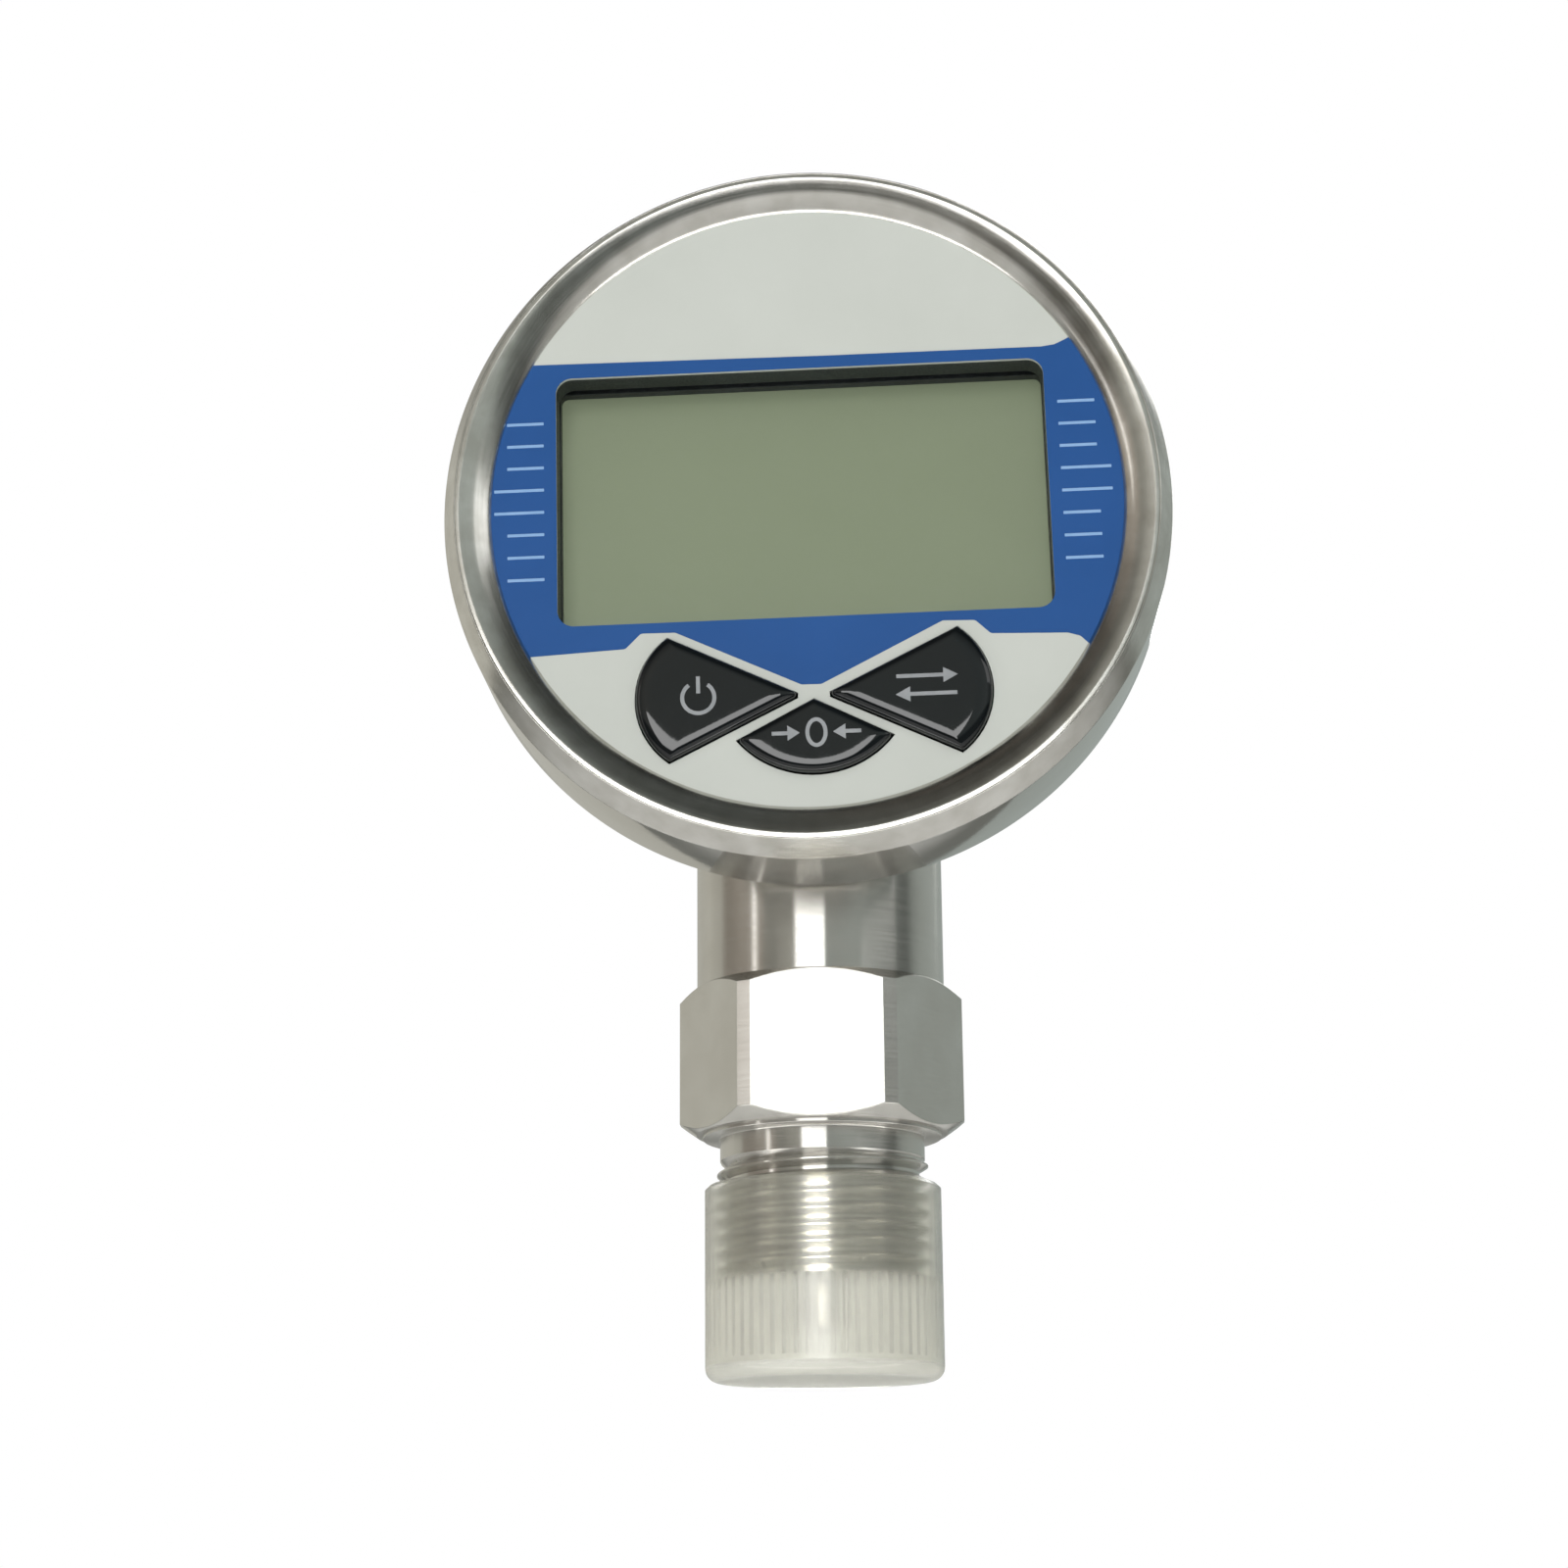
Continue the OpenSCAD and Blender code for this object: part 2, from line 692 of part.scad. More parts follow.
module circuit_board() color([0.1, 0.4, 0.22]) {
    on_dial() difference() {
        translate([0, 0, board_back]) cylinder(r = board_r, h = board_t);
        at_bosses() translate([0, 0, board_back - over]) {
            cylinder(r = board_screw_r + fit_gap, h = board_t + 2 * over);
        }
    }
}

module controller_chip() color([0.08, 0.08, 0.09]) {
    on_dial() translate([-chip_w / 2, window_y, board_back - chip_h]) cube([chip_w, chip_w, chip_h]);
}

module key_switch() {
    translate([-switch_w / 2, -switch_w / 2, board_front]) cube([switch_w, switch_w, switch_h]);
    translate([0, 0, board_front]) cylinder(d = plunger_d, h = plunger_top - board_front);
}

module key_switches() color([0.2, 0.2, 0.22]) {
    on_dial() at_keys() {
        for (s = [-1, 1]) translate([s * side_middle, 0, 0]) key_switch();
        translate([0, -middle_middle, 0]) key_switch();
    }
}

module power_key() color([0.09, 0.1, 0.12]) {
    on_dial() at_keys() rotate([0, 0, 180]) side_key();
}

module zero_key() color([0.09, 0.1, 0.12]) {
    on_dial() at_keys() middle_key();
}

module unit_key() color([0.09, 0.1, 0.12]) {
    on_dial() at_keys() side_key();
}

module board_screws() color([0.75, 0.75, 0.76]) {
    on_dial() at_bosses() {
        translate([0, 0, board_back - screw_head_h]) cylinder(r = screw_head_r, h = screw_head_h);
        translate([0, 0, board_back - fit_gap]) cylinder(r = board_screw_r, h = board_t + screw_bite);
    }
}

// Open tray for two cells, on four posts that stand on the board's back
module battery_tray() color([0.13, 0.13, 0.14]) {
    on_dial() {
        difference() {
            translate([-tray_out_l, -tray_out_w, tray_floor - tray_floor_t - tray_depth]) {
                cube([2 * tray_out_l, 2 * tray_out_w, tray_floor_t + tray_depth]);
            }
            translate([-tray_in_l, -tray_in_w, tray_floor - tray_floor_t - tray_depth - over]) {
                cube([2 * tray_in_l, 2 * tray_in_w, tray_depth + over]);
            }
        }
        for (x = [-1, 1], y = [-1, 1]) {
            translate([x * (tray_out_l - tray_post_r), y * (tray_out_w - tray_post_r), tray_floor - tray_floor_t / 2]) {
                cylinder(r = tray_post_r, h = board_back - tray_floor + tray_floor_t / 2);
            }
        }
    }
}

module battery_cells() color([0.2, 0.35, 0.3]) {
    nub_r = cell_d * 0.18;
    nub_l = 1;
    on_dial() for (s = [-1, 1]) translate([0, s * cell_y, cell_z]) rotate([0, s * 90, 0]) {
        translate([0, 0, -cell_l / 2]) cylinder(d = cell_d, h = cell_l - nub_l);
        cylinder(r = nub_r, h = cell_l / 2);
    }
}

module battery_contacts() color([0.8, 0.78, 0.7]) {
    plate_w = cell_d * 0.8;
    on_dial() for (x = [-1, 1], y = [-1, 1]) translate([x * (cell_l / 2 + contact_room / 2), y * cell_y, cell_z]) {
        cube([contact_t, plate_w, plate_w], center = true);
    }
}

module pressure_sensor() color([0.7, 0.7, 0.7]) {
    difference() {
        union() {
            translate([0, 0, sensor_bottom]) cylinder(r = sensor_r, h = sensor_h);
            translate([0, 0, sensor_top - over]) cylinder(r = header_r, h = header_top - sensor_top + over);
        }
        translate([0, 0, groove_at]) tube(sensor_r + over, sensor_r - oring_d, 0, oring_d * 1.2);
    }
}

module sensor_oring() color([0.12, 0.12, 0.12]) {
    translate([0, 0, groove_at + oring_d * 0.6]) rotate_extrude() {
        translate([sensor_r - oring_d / 2, 0]) circle(d = oring_d, $fn = 32);
    }
}

module sensor_nut() color([0.78, 0.78, 0.78]) {
    tube(sensor_r, header_r + side_gap, sensor_top, sensor_nut_top);
}

// Flat lead from the sensor's header up to the back of the board, drawn from its side
module sensor_lead() color([0.7, 0.6, 0.35]) {
    rise_z = sensor_nut_top + 2 * lead_t;
    meet_z = rise_z + board_back / 3;
    end_z = meet_z + lead_w;
    translate([-lead_w / 2, 0, 0]) rotate([90, 0, 90]) linear_extrude(lead_w) polygon([
        [-lead_t / 2, header_top],
        [lead_t / 2, header_top],
        [lead_t / 2, rise_z + lead_t],
        [lead_t - board_back, meet_z],
        [lead_t - board_back, end_z],
        [-board_back, end_z],
        [-board_back, meet_z - lead_t],
        [-lead_t / 2, rise_z]
    ]);
}

// Places its children at each screw of the rear cover
module at_rear_screws() {
    for (a = REAR_ANGLES) rotate([0, 0, a]) translate([rear_screw_at, 0, 0]) children();
}

module rear_gasket() color([0.1, 0.1, 0.1]) {
    in_case() difference() {
        tube(rear_gasket_r, rear_opening_r, -case_back - rear_gasket_t, -case_back);
        at_rear_screws() translate([0, 0, -case_back - rear_gasket_t - over]) {
            cylinder(r = rear_screw_r + fit_gap, h = rear_gasket_t + 2 * over);
        }
    }
}

module rear_cover() color([0.7, 0.69, 0.66]) {
    cover_back = -case_back - rear_gasket_t - rear_cover_t;
    in_case() difference() {
        translate([0, 0, cover_back]) cylinder(r = rear_cover_r, h = rear_cover_t);
        at_rear_screws() translate([0, 0, cover_back - over]) {
            cylinder(r = rear_screw_r + fit_gap, h = rear_cover_t + 2 * over);
        }
    }
}

module rear_nuts() color([0.75, 0.75, 0.75]) {
    in_case() at_rear_screws() {
        tube(rear_nut_r, rear_screw_r + fit_gap, case_t - case_back, case_t - case_back + rear_nut_h);
    }
}

module rear_screws() color([0.75, 0.75, 0.76]) {
    cover_back = -case_back - rear_gasket_t - rear_cover_t;
    in_case() at_rear_screws() {
        translate([0, 0, cover_back - rear_head_h]) cylinder(r = rear_head_r, h = rear_head_h);
        translate([0, 0, cover_back - fit_gap]) {
            cylinder(r = rear_screw_r, h = rear_cover_t + rear_gasket_t + case_t + rear_nut_h);
        }
    }
}

stem();
thread_cap();
case_shell();
bezel_ring();
bezel_gasket();
overlay();
face_plate();
window_pane();
lcd_frame();
lcd_glass();
lcd_contact_strips();
circuit_board();
controller_chip();
key_switches();
power_key();
zero_key();
unit_key();
board_screws();
battery_tray();
battery_cells();
battery_contacts();
pressure_sensor();
sensor_oring();
sensor_nut();
sensor_lead();
rear_cover();
rear_gasket();
rear_nuts();
rear_screws();
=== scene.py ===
from math import acos, atan2, cos, pi, radians, sin, sqrt, tan

import bpy
from mathutils import Matrix, Vector
from mathutils.bvhtree import BVHTree
from mathutils.geometry import tessellate_polygon


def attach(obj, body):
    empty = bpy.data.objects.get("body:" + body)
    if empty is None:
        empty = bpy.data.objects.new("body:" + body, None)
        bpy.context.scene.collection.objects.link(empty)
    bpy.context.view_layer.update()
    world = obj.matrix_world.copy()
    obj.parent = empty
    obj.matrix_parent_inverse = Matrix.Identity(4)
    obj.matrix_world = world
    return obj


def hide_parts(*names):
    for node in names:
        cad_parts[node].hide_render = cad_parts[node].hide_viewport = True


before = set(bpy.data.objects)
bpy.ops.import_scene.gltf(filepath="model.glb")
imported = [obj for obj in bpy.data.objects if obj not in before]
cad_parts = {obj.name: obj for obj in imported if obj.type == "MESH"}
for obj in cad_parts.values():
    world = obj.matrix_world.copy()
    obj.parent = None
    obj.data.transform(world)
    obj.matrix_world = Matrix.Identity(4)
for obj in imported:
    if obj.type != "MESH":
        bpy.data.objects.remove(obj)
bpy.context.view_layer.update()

# Sizes are in millimetres in this script and become metres where a point is placed
MM = 0.001
# Height of the case's axis over the sealing face of the stem
HEAD_Z = 55.1
# Distance of the dial's film from the stem's axis
DIAL_H = 24.0
# Turn of the dial against the stem
DIAL_TURN = radians(1.1)
STEM_AXIS = (0.0, 0.0, 1.0)
CASE_AXIS = (0.0, 1.0, 0.0)
STEM_CENTRE = (0.0, 0.0, 0.0)
CASE_CENTRE = (0.0, 0.0, HEAD_Z * MM)
WHITE = (1.0, 1.0, 1.0, 1.0)


# Places
def at_stem(x, y, z):
    """Point in the frame of the stem, which stands on Z."""
    return Vector((x, y, z)) * MM


def at_case(x, y, h):
    """Point in the frame of the case: x to the right, y up, h from the stem's axis to the front."""
    return Vector((x, -h, HEAD_Z + y)) * MM


def at_dial(x, y, h):
    """As at_case, with the small turn of the dial."""
    c, s = cos(DIAL_TURN), sin(DIAL_TURN)
    return at_case(c * x - s * y, s * x + c * y, h)


# Materials
def node(tree, kind, inputs=None, **settings):
    """New node with its settings, and its inputs set to values or linked to sockets."""
    made = tree.nodes.new(kind)
    for key, value in settings.items():
        setattr(made, key, value)
    for key, value in (inputs or {}).items():
        if isinstance(value, bpy.types.NodeSocket):
            tree.links.new(value, made.inputs[key])
        else:
            made.inputs[key].default_value = value
    return made


def number_math(tree, operation, first, second):
    return node(tree, "ShaderNodeMath", {0: first, 1: second}, operation=operation).outputs[0]


def vector_math(tree, operation, first, second):
    return node(tree, "ShaderNodeVectorMath", {0: first, 1: second}, operation=operation).outputs[0]


def remap(tree, value, source, target=(0.0, 1.0)):
    """Value carried over from one range of numbers to another, and held at its ends."""
    limits = {"From Min": source[0], "From Max": source[1], "To Min": target[0], "To Max": target[1]}
    return node(tree, "ShaderNodeMapRange", {0: value, **limits}).outputs[0]


def coordinates(tree):
    return node(tree, "ShaderNodeTexCoord").outputs["Object"]


def speckle(scale, detail=3.0, stretch=(1.0, 1.0, 1.0)):
    """Maker of plain noise. scale is in cells a metre, and stretch multiplies it on each axis."""

    def make(tree):
        placed = vector_math(tree, "MULTIPLY", coordinates(tree), stretch)
        inputs = {"Vector": placed, "Scale": scale, "Detail": detail}
        return node(tree, "ShaderNodeTexNoise", inputs).outputs[0]

    return make


def turning(axis, centre, across, around=2.0, detail=3.0):
    """Maker of noise that runs round an axis, as a lathe or a polishing wheel leaves it."""
    mask = Vector((1, 1, 1)) - Vector(axis)

    def make(tree):
        arm = vector_math(tree, "SUBTRACT", coordinates(tree), centre)
        flat_arm = vector_math(tree, "MULTIPLY", arm, mask)
        length = node(tree, "ShaderNodeVectorMath", {0: flat_arm}, operation="LENGTH").outputs["Value"]
        unit = node(tree, "ShaderNodeVectorMath", {0: flat_arm}, operation="NORMALIZE").outputs[0]
        bent = vector_math(tree, "MULTIPLY", unit, (around, around, around))
        along = vector_math(tree, "MULTIPLY", arm, Vector(axis) * across)
        deep = number_math(tree, "MULTIPLY", length, across)
        placed = vector_math(tree, "ADD", bent, along)
        inputs = {"Vector": placed, "W": deep, "Scale": 1.0, "Detail": detail}
        return node(tree, "ShaderNodeTexNoise", inputs, noise_dimensions="4D").outputs[0]

    return make


# Noise keeps near its middle, so colour and roughness run their whole way between these levels of it
CLOUD_LEVELS = (0.32, 0.68)
GRAIN_LEVELS = (0.3, 0.7)
QUARTER_TURN = 0.25


def surface(name, colour, tone, rough, grain, height, blotch=160.0, soften=0.0, turned="", **sockets):
    """Material whose colour wanders between colour and tone, whose roughness spans rough,
    and whose relief, of that height in millimetres, follows the grain. Steel turned about
    an axis spreads its reflections along that axis."""
    material = bpy.data.materials.new(name)
    material.use_nodes = True
    tree = material.node_tree
    shader = tree.nodes["Principled BSDF"]
    clouds = node(tree, "ShaderNodeTexNoise", {"Vector": coordinates(tree), "Scale": blotch, "Detail": 5.0})
    ramp = node(tree, "ShaderNodeValToRGB", {0: clouds.outputs[0]})
    for element, place, value in zip(ramp.color_ramp.elements, CLOUD_LEVELS, (colour, tone)):
        element.position = place
        element.color = (*value, 1.0)
    marks = grain(tree)
    relief = {"Height": marks, "Strength": 1.0, "Distance": height * MM}
    if soften:
        relief["Normal"] = node(tree, "ShaderNodeBevel", {"Radius": soften * MM}, samples=6).outputs[0]
    tree.links.new(ramp.outputs[0], shader.inputs["Base Color"])
    tree.links.new(remap(tree, marks, GRAIN_LEVELS, rough), shader.inputs["Roughness"])
    tree.links.new(node(tree, "ShaderNodeBump", relief).outputs[0], shader.inputs["Normal"])
    if turned:
        tangent = node(tree, "ShaderNodeTangent", direction_type="RADIAL", axis=turned).outputs[0]
        tree.links.new(tangent, shader.inputs["Tangent"])
        shader.inputs["Anisotropic Rotation"].default_value = QUARTER_TURN
    for key, value in sockets.items():
        shader.inputs[key.replace("_", " ")].default_value = value
    return material


def add_for_rays(material, ray, share, kind, inputs=None):
    """Mixes that share of a second shader into a material, for one kind of ray only."""
    tree = material.node_tree
    output = tree.nodes["Material Output"]
    solid = output.inputs["Surface"].links[0].from_socket
    chosen = node(tree, "ShaderNodeLightPath").outputs[ray]
    factor = number_math(tree, "MULTIPLY", chosen, share)
    second = node(tree, kind, inputs).outputs[0]
    mixed = node(tree, "ShaderNodeMixShader", {0: factor, 1: solid, 2: second})
    tree.links.new(mixed.outputs[0], output.inputs["Surface"])


def see_through_shadows(material, share):
    """Lets that share of a lamp's light pass where the material would cast a shadow."""
    add_for_rays(material, "Is Shadow Ray", share, "ShaderNodeBsdfTransparent")


def white_to_camera(material, share):
    """Mixes that share of plain white into what the camera itself sees of the material."""
    add_for_rays(material, "Is Camera Ray", share, "ShaderNodeEmission", {"Color": WHITE, "Strength": 1.0})


def milky_below(material, heights, shares):
    """Makes a clear plastic milky: its transmission goes from share to share between two heights."""
    tree = material.node_tree
    z = node(tree, "ShaderNodeSeparateXYZ", {0: coordinates(tree)}).outputs[2]
    share = remap(tree, z, [height * MM for height in heights], shares)
    tree.links.new(share, tree.nodes["Principled BSDF"].inputs["Transmission Weight"])


STEEL = (0.63, 0.615, 0.58)
STEEL_TONE = (0.57, 0.55, 0.51)
stem_steel = surface(
    "stem_steel",
    STEEL,
    STEEL_TONE,
    (0.19, 0.26),
    turning(STEM_AXIS, STEM_CENTRE, 5000.0),
    0.0008,
    turned="Z",
    Metallic=1.0,
    Anisotropic=0.95,
)
ring_steel = surface(
    "ring_steel",
    (0.68, 0.665, 0.63),
    (0.54, 0.52, 0.48),
    (0.15, 0.26),
    turning(CASE_AXIS, CASE_CENTRE, 5000.0),
    0.0015,
    blotch=320.0,
    Metallic=1.0,
)
wall_steel = surface(
    "wall_steel",
    STEEL,
    STEEL_TONE,
    (0.04, 0.1),
    turning(CASE_AXIS, CASE_CENTRE, 3000.0),
    0.0004,
    Metallic=1.0,
)
case_steel = surface(
    "case_steel",
    STEEL,
    STEEL_TONE,
    (0.22, 0.36),
    turning(CASE_AXIS, CASE_CENTRE, 6000.0),
    0.003,
    soften=0.2,
    Metallic=1.0,
)
cover_steel = surface(
    "cover_steel",
    STEEL,
    STEEL_TONE,
    (0.26, 0.42),
    speckle(9000.0, stretch=(0.02, 1.0, 1.0)),
    0.003,
    soften=0.2,
    Metallic=1.0,
)
screw_steel = surface(
    "screw_steel",
    (0.66, 0.65, 0.63),
    (0.5, 0.48, 0.45),
    (0.2, 0.38),
    speckle(4000.0),
    0.004,
    blotch=900.0,
    Metallic=1.0,
)
film = surface(
    "film",
    (0.47, 0.487, 0.454),
    (0.45, 0.467, 0.434),
    (0.38, 0.5),
    speckle(7000.0),
    0.004,
    blotch=90.0,
    soften=0.06,
    Specular_IOR_Level=0.25,
)
blue_ink = surface(
    "blue_ink",
    (0.0085, 0.065, 0.23),
    (0.0065, 0.06, 0.216),
    (0.36, 0.5),
    speckle(7000.0),
    0.004,
    blotch=120.0,
    Specular_IOR_Level=0.2,
)
light_ink = surface(
    "light_ink",
    (0.22, 0.36, 0.58),
    (0.19, 0.33, 0.55),
    (0.36, 0.5),
    speckle(7000.0),
    0.003,
    blotch=600.0,
    Specular_IOR_Level=0.2,
)
sign_ink = surface(
    "sign_ink", (0.23, 0.24, 0.25), (0.19, 0.2, 0.21), (0.12, 0.2), speckle(5000.0), 0.001, blotch=700.0
)
key_resin = surface(
    "key_resin",
    (0.0014, 0.0026, 0.0036),
    (0.001, 0.002, 0.0028),
    (0.03, 0.06),
    speckle(900.0),
    0.002,
    blotch=200.0,
    IOR=1.57,
)
dark_plastic = surface(
    "dark_plastic",
    (0.016, 0.02, 0.024),
    (0.011, 0.014, 0.017),
    (0.35, 0.55),
    speckle(5000.0),
    0.01,
    soften=0.12,
)
# The display's emission is painted light: an even glow that lifts its dark glass and evens out the shade of
# the window's recess on it.
display_glass_painted_glow = surface(
    "display_glass_painted_glow",
    (0.1, 0.12, 0.07),
    (0.096, 0.116, 0.067),
    (0.28, 0.34),
    speckle(6000.0),
    0.001,
    blotch=60.0,
    Specular_IOR_Level=0.3,
    Emission_Color=(0.115, 0.136, 0.088, 1.0),
    Emission_Strength=1.0,
)
rubber = surface("rubber", (0.02, 0.02, 0.02), (0.03, 0.03, 0.028), (0.6, 0.85), speckle(3500.0), 0.02)
contact_rubber = surface(
    "contact_rubber",
    (0.72, 0.32, 0.38),
    (0.12, 0.1, 0.1),
    (0.5, 0.75),
    speckle(2500.0, stretch=(1.0, 0.05, 0.05)),
    0.01,
)
solder_mask = surface(
    "solder_mask",
    (0.012, 0.12, 0.045),
    (0.02, 0.19, 0.07),
    (0.18, 0.4),
    speckle(1600.0, detail=1.0),
    0.03,
    blotch=420.0,
)
chip_epoxy = surface(
    "chip_epoxy", (0.02, 0.02, 0.022), (0.032, 0.032, 0.034), (0.5, 0.7), speckle(6000.0), 0.01
)
cell_sleeve = surface(
    "cell_sleeve",
    (0.06, 0.16, 0.1),
    (0.09, 0.2, 0.13),
    (0.2, 0.32),
    speckle(900.0, stretch=(0.1, 1.0, 1.0)),
    0.01,
    soften=0.3,
)
plated = surface(
    "plated", (0.78, 0.74, 0.62), (0.66, 0.62, 0.5), (0.18, 0.4), speckle(3000.0), 0.004, Metallic=1.0
)
sensor_metal = surface(
    "sensor_metal", (0.62, 0.62, 0.62), (0.52, 0.52, 0.52), (0.2, 0.4), speckle(3500.0), 0.004, Metallic=1.0
)
amber_film = surface(
    "amber_film",
    (0.42, 0.2, 0.03),
    (0.55, 0.3, 0.06),
    (0.2, 0.35),
    speckle(2000.0, stretch=(1.0, 0.03, 0.03)),
    0.01,
)
clear_pane = surface(
    "clear_pane", (0.1, 0.11, 0.11), (0.07, 0.08, 0.08), (0.03, 0.07), speckle(700.0), 0.0005, Alpha=0.06
)
cap_plastic = surface(
    "cap_plastic",
    (0.8, 0.795, 0.735),
    (0.74, 0.735, 0.68),
    (0.18, 0.24),
    speckle(1500.0, stretch=(1.0, 1.0, 0.2)),
    0.0002,
    blotch=220.0,
    IOR=1.32,
    Specular_IOR_Level=0.1,
)

# Below the thread's end the cap is milky, and above it, where it hugs the thread, clear
MILK_HEIGHTS = (-14.6, -12.9)
MILK_SHARES = (0.74, 0.93)
milky_below(cap_plastic, MILK_HEIGHTS, MILK_SHARES)
see_through_shadows(cap_plastic, share=0.75)
see_through_shadows(clear_pane, share=0.95)


# Pieces
def piece(name, points, faces, material, body="gauge", sharp=32.0):
    """Mesh piece that rides a body, smooth but for edges sharper than that many degrees."""
    mesh = bpy.data.meshes.new(name)
    mesh.from_pydata(points, [], faces)
    mesh.materials.append(material)
    mesh.shade_smooth()
    mesh.set_sharp_from_angle(angle=radians(sharp))
    made = bpy.data.objects.new(name, mesh)
    bpy.context.collection.objects.link(made)
    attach(made, body)
    return made


def merged(points, faces, reach=2e-6):
    """Points and faces with the points that coincide made one."""
    index, kept, places = {}, [], []
    for point in points:
        key = tuple(round(value / reach) for value in point)
        if key not in index:
            index[key] = len(kept)
            kept.append(point)
        places.append(index[key])
    joined = []
    for face in faces:
        ring = [places[i] for i in face]
        ring = [p for i, p in enumerate(ring) if p != ring[i - 1]]
        if len(set(ring)) > 2:
            joined.append(ring)
    return kept, joined


def band_faces(columns, rows):
    """Faces between neighbouring columns of closed rows. The last column lies on the first."""
    return [
        (c * rows + r, (c + 1) * rows + r, (c + 1) * rows + (r + 1) % rows, c * rows + (r + 1) % rows)
        for c in range(columns - 1)
        for r in range(rows)
    ]


def rounded(corners, steps=4):
    """Closed outline of (x, y, radius) corners with each corner rounded to its radius."""
    outline = []
    for i, (x, y, radius) in enumerate(corners):
        here = Vector((x, y))
        before = (Vector(corners[i - 1][:2]) - here).normalized()
        after = (Vector(corners[(i + 1) % len(corners)][:2]) - here).normalized()
        if not radius:
            outline.append((x, y))
            continue
        half = acos(max(-1.0, min(1.0, before.dot(after)))) / 2
        start = here + before * (radius / tan(half))
        end = here + after * (radius / tan(half))
        centre = here + (before + after).normalized() * (radius / sin(half))
        for k in range(steps + 1):
            lean = start.lerp(end, k / steps) - centre
            outline.append(tuple(centre + lean.normalized() * radius))
    return outline


def lathe(name, outline, place, material, steps=216, sharp=32.0):
    """Ring-shaped piece: a closed outline of (radius, height) turned about the axis of a place."""
    points = []
    for i in range(steps + 1):
        angle = 2 * pi * i / steps
        points += [place(r * cos(angle), r * sin(angle), h) for r, h in outline]
    points, faces = merged(points, band_faces(steps + 1, len(outline)))
    return piece(name, points, faces, material, sharp=sharp)


# Ring: radii and heights of its section
RING_R = 33.5
RING_IN_R = 32.7
OPENING_R = 28.95
LIP_GAP = 0.02
LIP_W = 0.9
SHOULDER_TOP = (32.24, 25.63)
SHOULDER_END_H = 23.01
RING_BACK_H = 12.5
CRIMP_R = 31.55
CRIMP_H = 13.3
# Hollow under the crest, from the wall to the lip
HOLLOW = ((RING_IN_R, 22.6), (31.7, 24.6), (31.0, 24.6))
# Arcs of the ring's front from the lip to the crown: radius, first and last slope in degrees
RING_ARCS = ((1.9, 60, 40), (5.5, 40, 13), (0.5, 13, 0), (3.0, 0, -5))
# Height below which the ring has the smoother steel of its wall
WALL_STEEL_H = 22.7


def ring_front():
    """Front of the ring from its lip on the film over the crest."""
    r, h = OPENING_R + LIP_GAP, DIAL_H
    points = [(r, h)]
    for radius, first, last in RING_ARCS:
        steps = max(5, abs(last - first) // 3)
        centre = (r + radius * sin(radians(first)), h - radius * cos(radians(first)))
        for i in range(1, steps + 1):
            slope = radians(first + (last - first) * i / steps)
            r, h = centre[0] - radius * sin(slope), centre[1] + radius * cos(slope)
            points.append((r, h))
    return points


def ring_outline():
    """Section of the rolled ring: shoulder, wall, crimp, hollow and front."""
    back = [
        (*SHOULDER_TOP, 0.1),
        (RING_R, SHOULDER_END_H, 0.7),
        (RING_R, RING_BACK_H, 0.45),
        (CRIMP_R, RING_BACK_H, 0.15),
        (CRIMP_R, CRIMP_H, 0),
        (RING_IN_R, CRIMP_H, 0),
        *((r, h, 0) for r, h in HOLLOW),
        (OPENING_R + LIP_W, DIAL_H, 0),
    ]
    return rounded(back, steps=6) + ring_front()


def ring_piece():
    ring = lathe("ring", ring_outline(), at_case, ring_steel, steps=288, sharp=40.0)
    ring.data.materials.append(wall_steel)
    for face in ring.data.polygons:
        if -face.center.y < WALL_STEEL_H * MM:
            face.material_index = 1
    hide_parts("bezel_ring")


ring_piece()

# Stem: radii and heights of its section
PITCH = 1.5
CREST_R = 9.95
ROOT_DEPTH = 0.85
RELIEF_R = 9.65
THREAD_TOP = -2.1
THREAD_END = -13.3
THREAD_CHAMFER = 0.8
PILOT_R = 3.0
PILOT_END = -17.8
PORT_R = 1.5
WASHER_R = 11.3
WASHER_H = 0.4
HEX_FLAT = 12.0
HEX_R = 13.65
HEX_H = 14.2
CHAMFER_R = 11.9
CHAMFER_SLOPE = 35
NECK_R = 11.8
NECK_TOP = 30.3
# The grooves grow shallow over this length below the relief, and the crests fall off at this slope
FADE_L = 1.1
FADE_SLOPE = 1.2
# The greater this power, the sharper the hexagon's flats meet its turned edges
HEX_POWER = 260
# Section of one turn of the thread: share of the pitch, share of the depth
THREAD_SHARES = (
    (0.0, 0.04),
    (0.02, 0.0),
    (0.105, 0.0),
    (0.125, 0.04),
    (0.28, 0.5),
    (0.42, 0.93),
    (0.465, 1.0),
    (0.66, 1.0),
    (0.705, 0.93),
    (0.85, 0.46),
)
# Angles at which a flat of the hexagon is drawn, from its edge to its middle, closer near the edge
SIDE_ANGLES = (-30, -29.5, -29, -28.5, -28, -27.5, -27, -26.3, -25, -22, -18, -13, -8, -3)


def thread_rows(angle):
    """Outline of the thread at that angle, from its end up to the relief."""
    turns = int((THREAD_TOP - THREAD_END) / PITCH) + 3
    rows = []
    for turn in range(-2, turns):
        for share, depth in THREAD_SHARES:
            z = THREAD_END + PITCH * (turn + share + angle / (2 * pi))
            z = min(max(z, THREAD_END), THREAD_TOP)
            r = CREST_R - ROOT_DEPTH * depth
            fade = min(max((z - THREAD_TOP + FADE_L) / FADE_L, 0.0), 1.0)
            r = max(r, RELIEF_R - ROOT_DEPTH * (1 - fade))
            r = min(r, CREST_R - THREAD_CHAMFER + (z - THREAD_END))
            r = min(r, RELIEF_R + FADE_SLOPE * (THREAD_TOP - z))
            rows.append((r, z))
    return rows


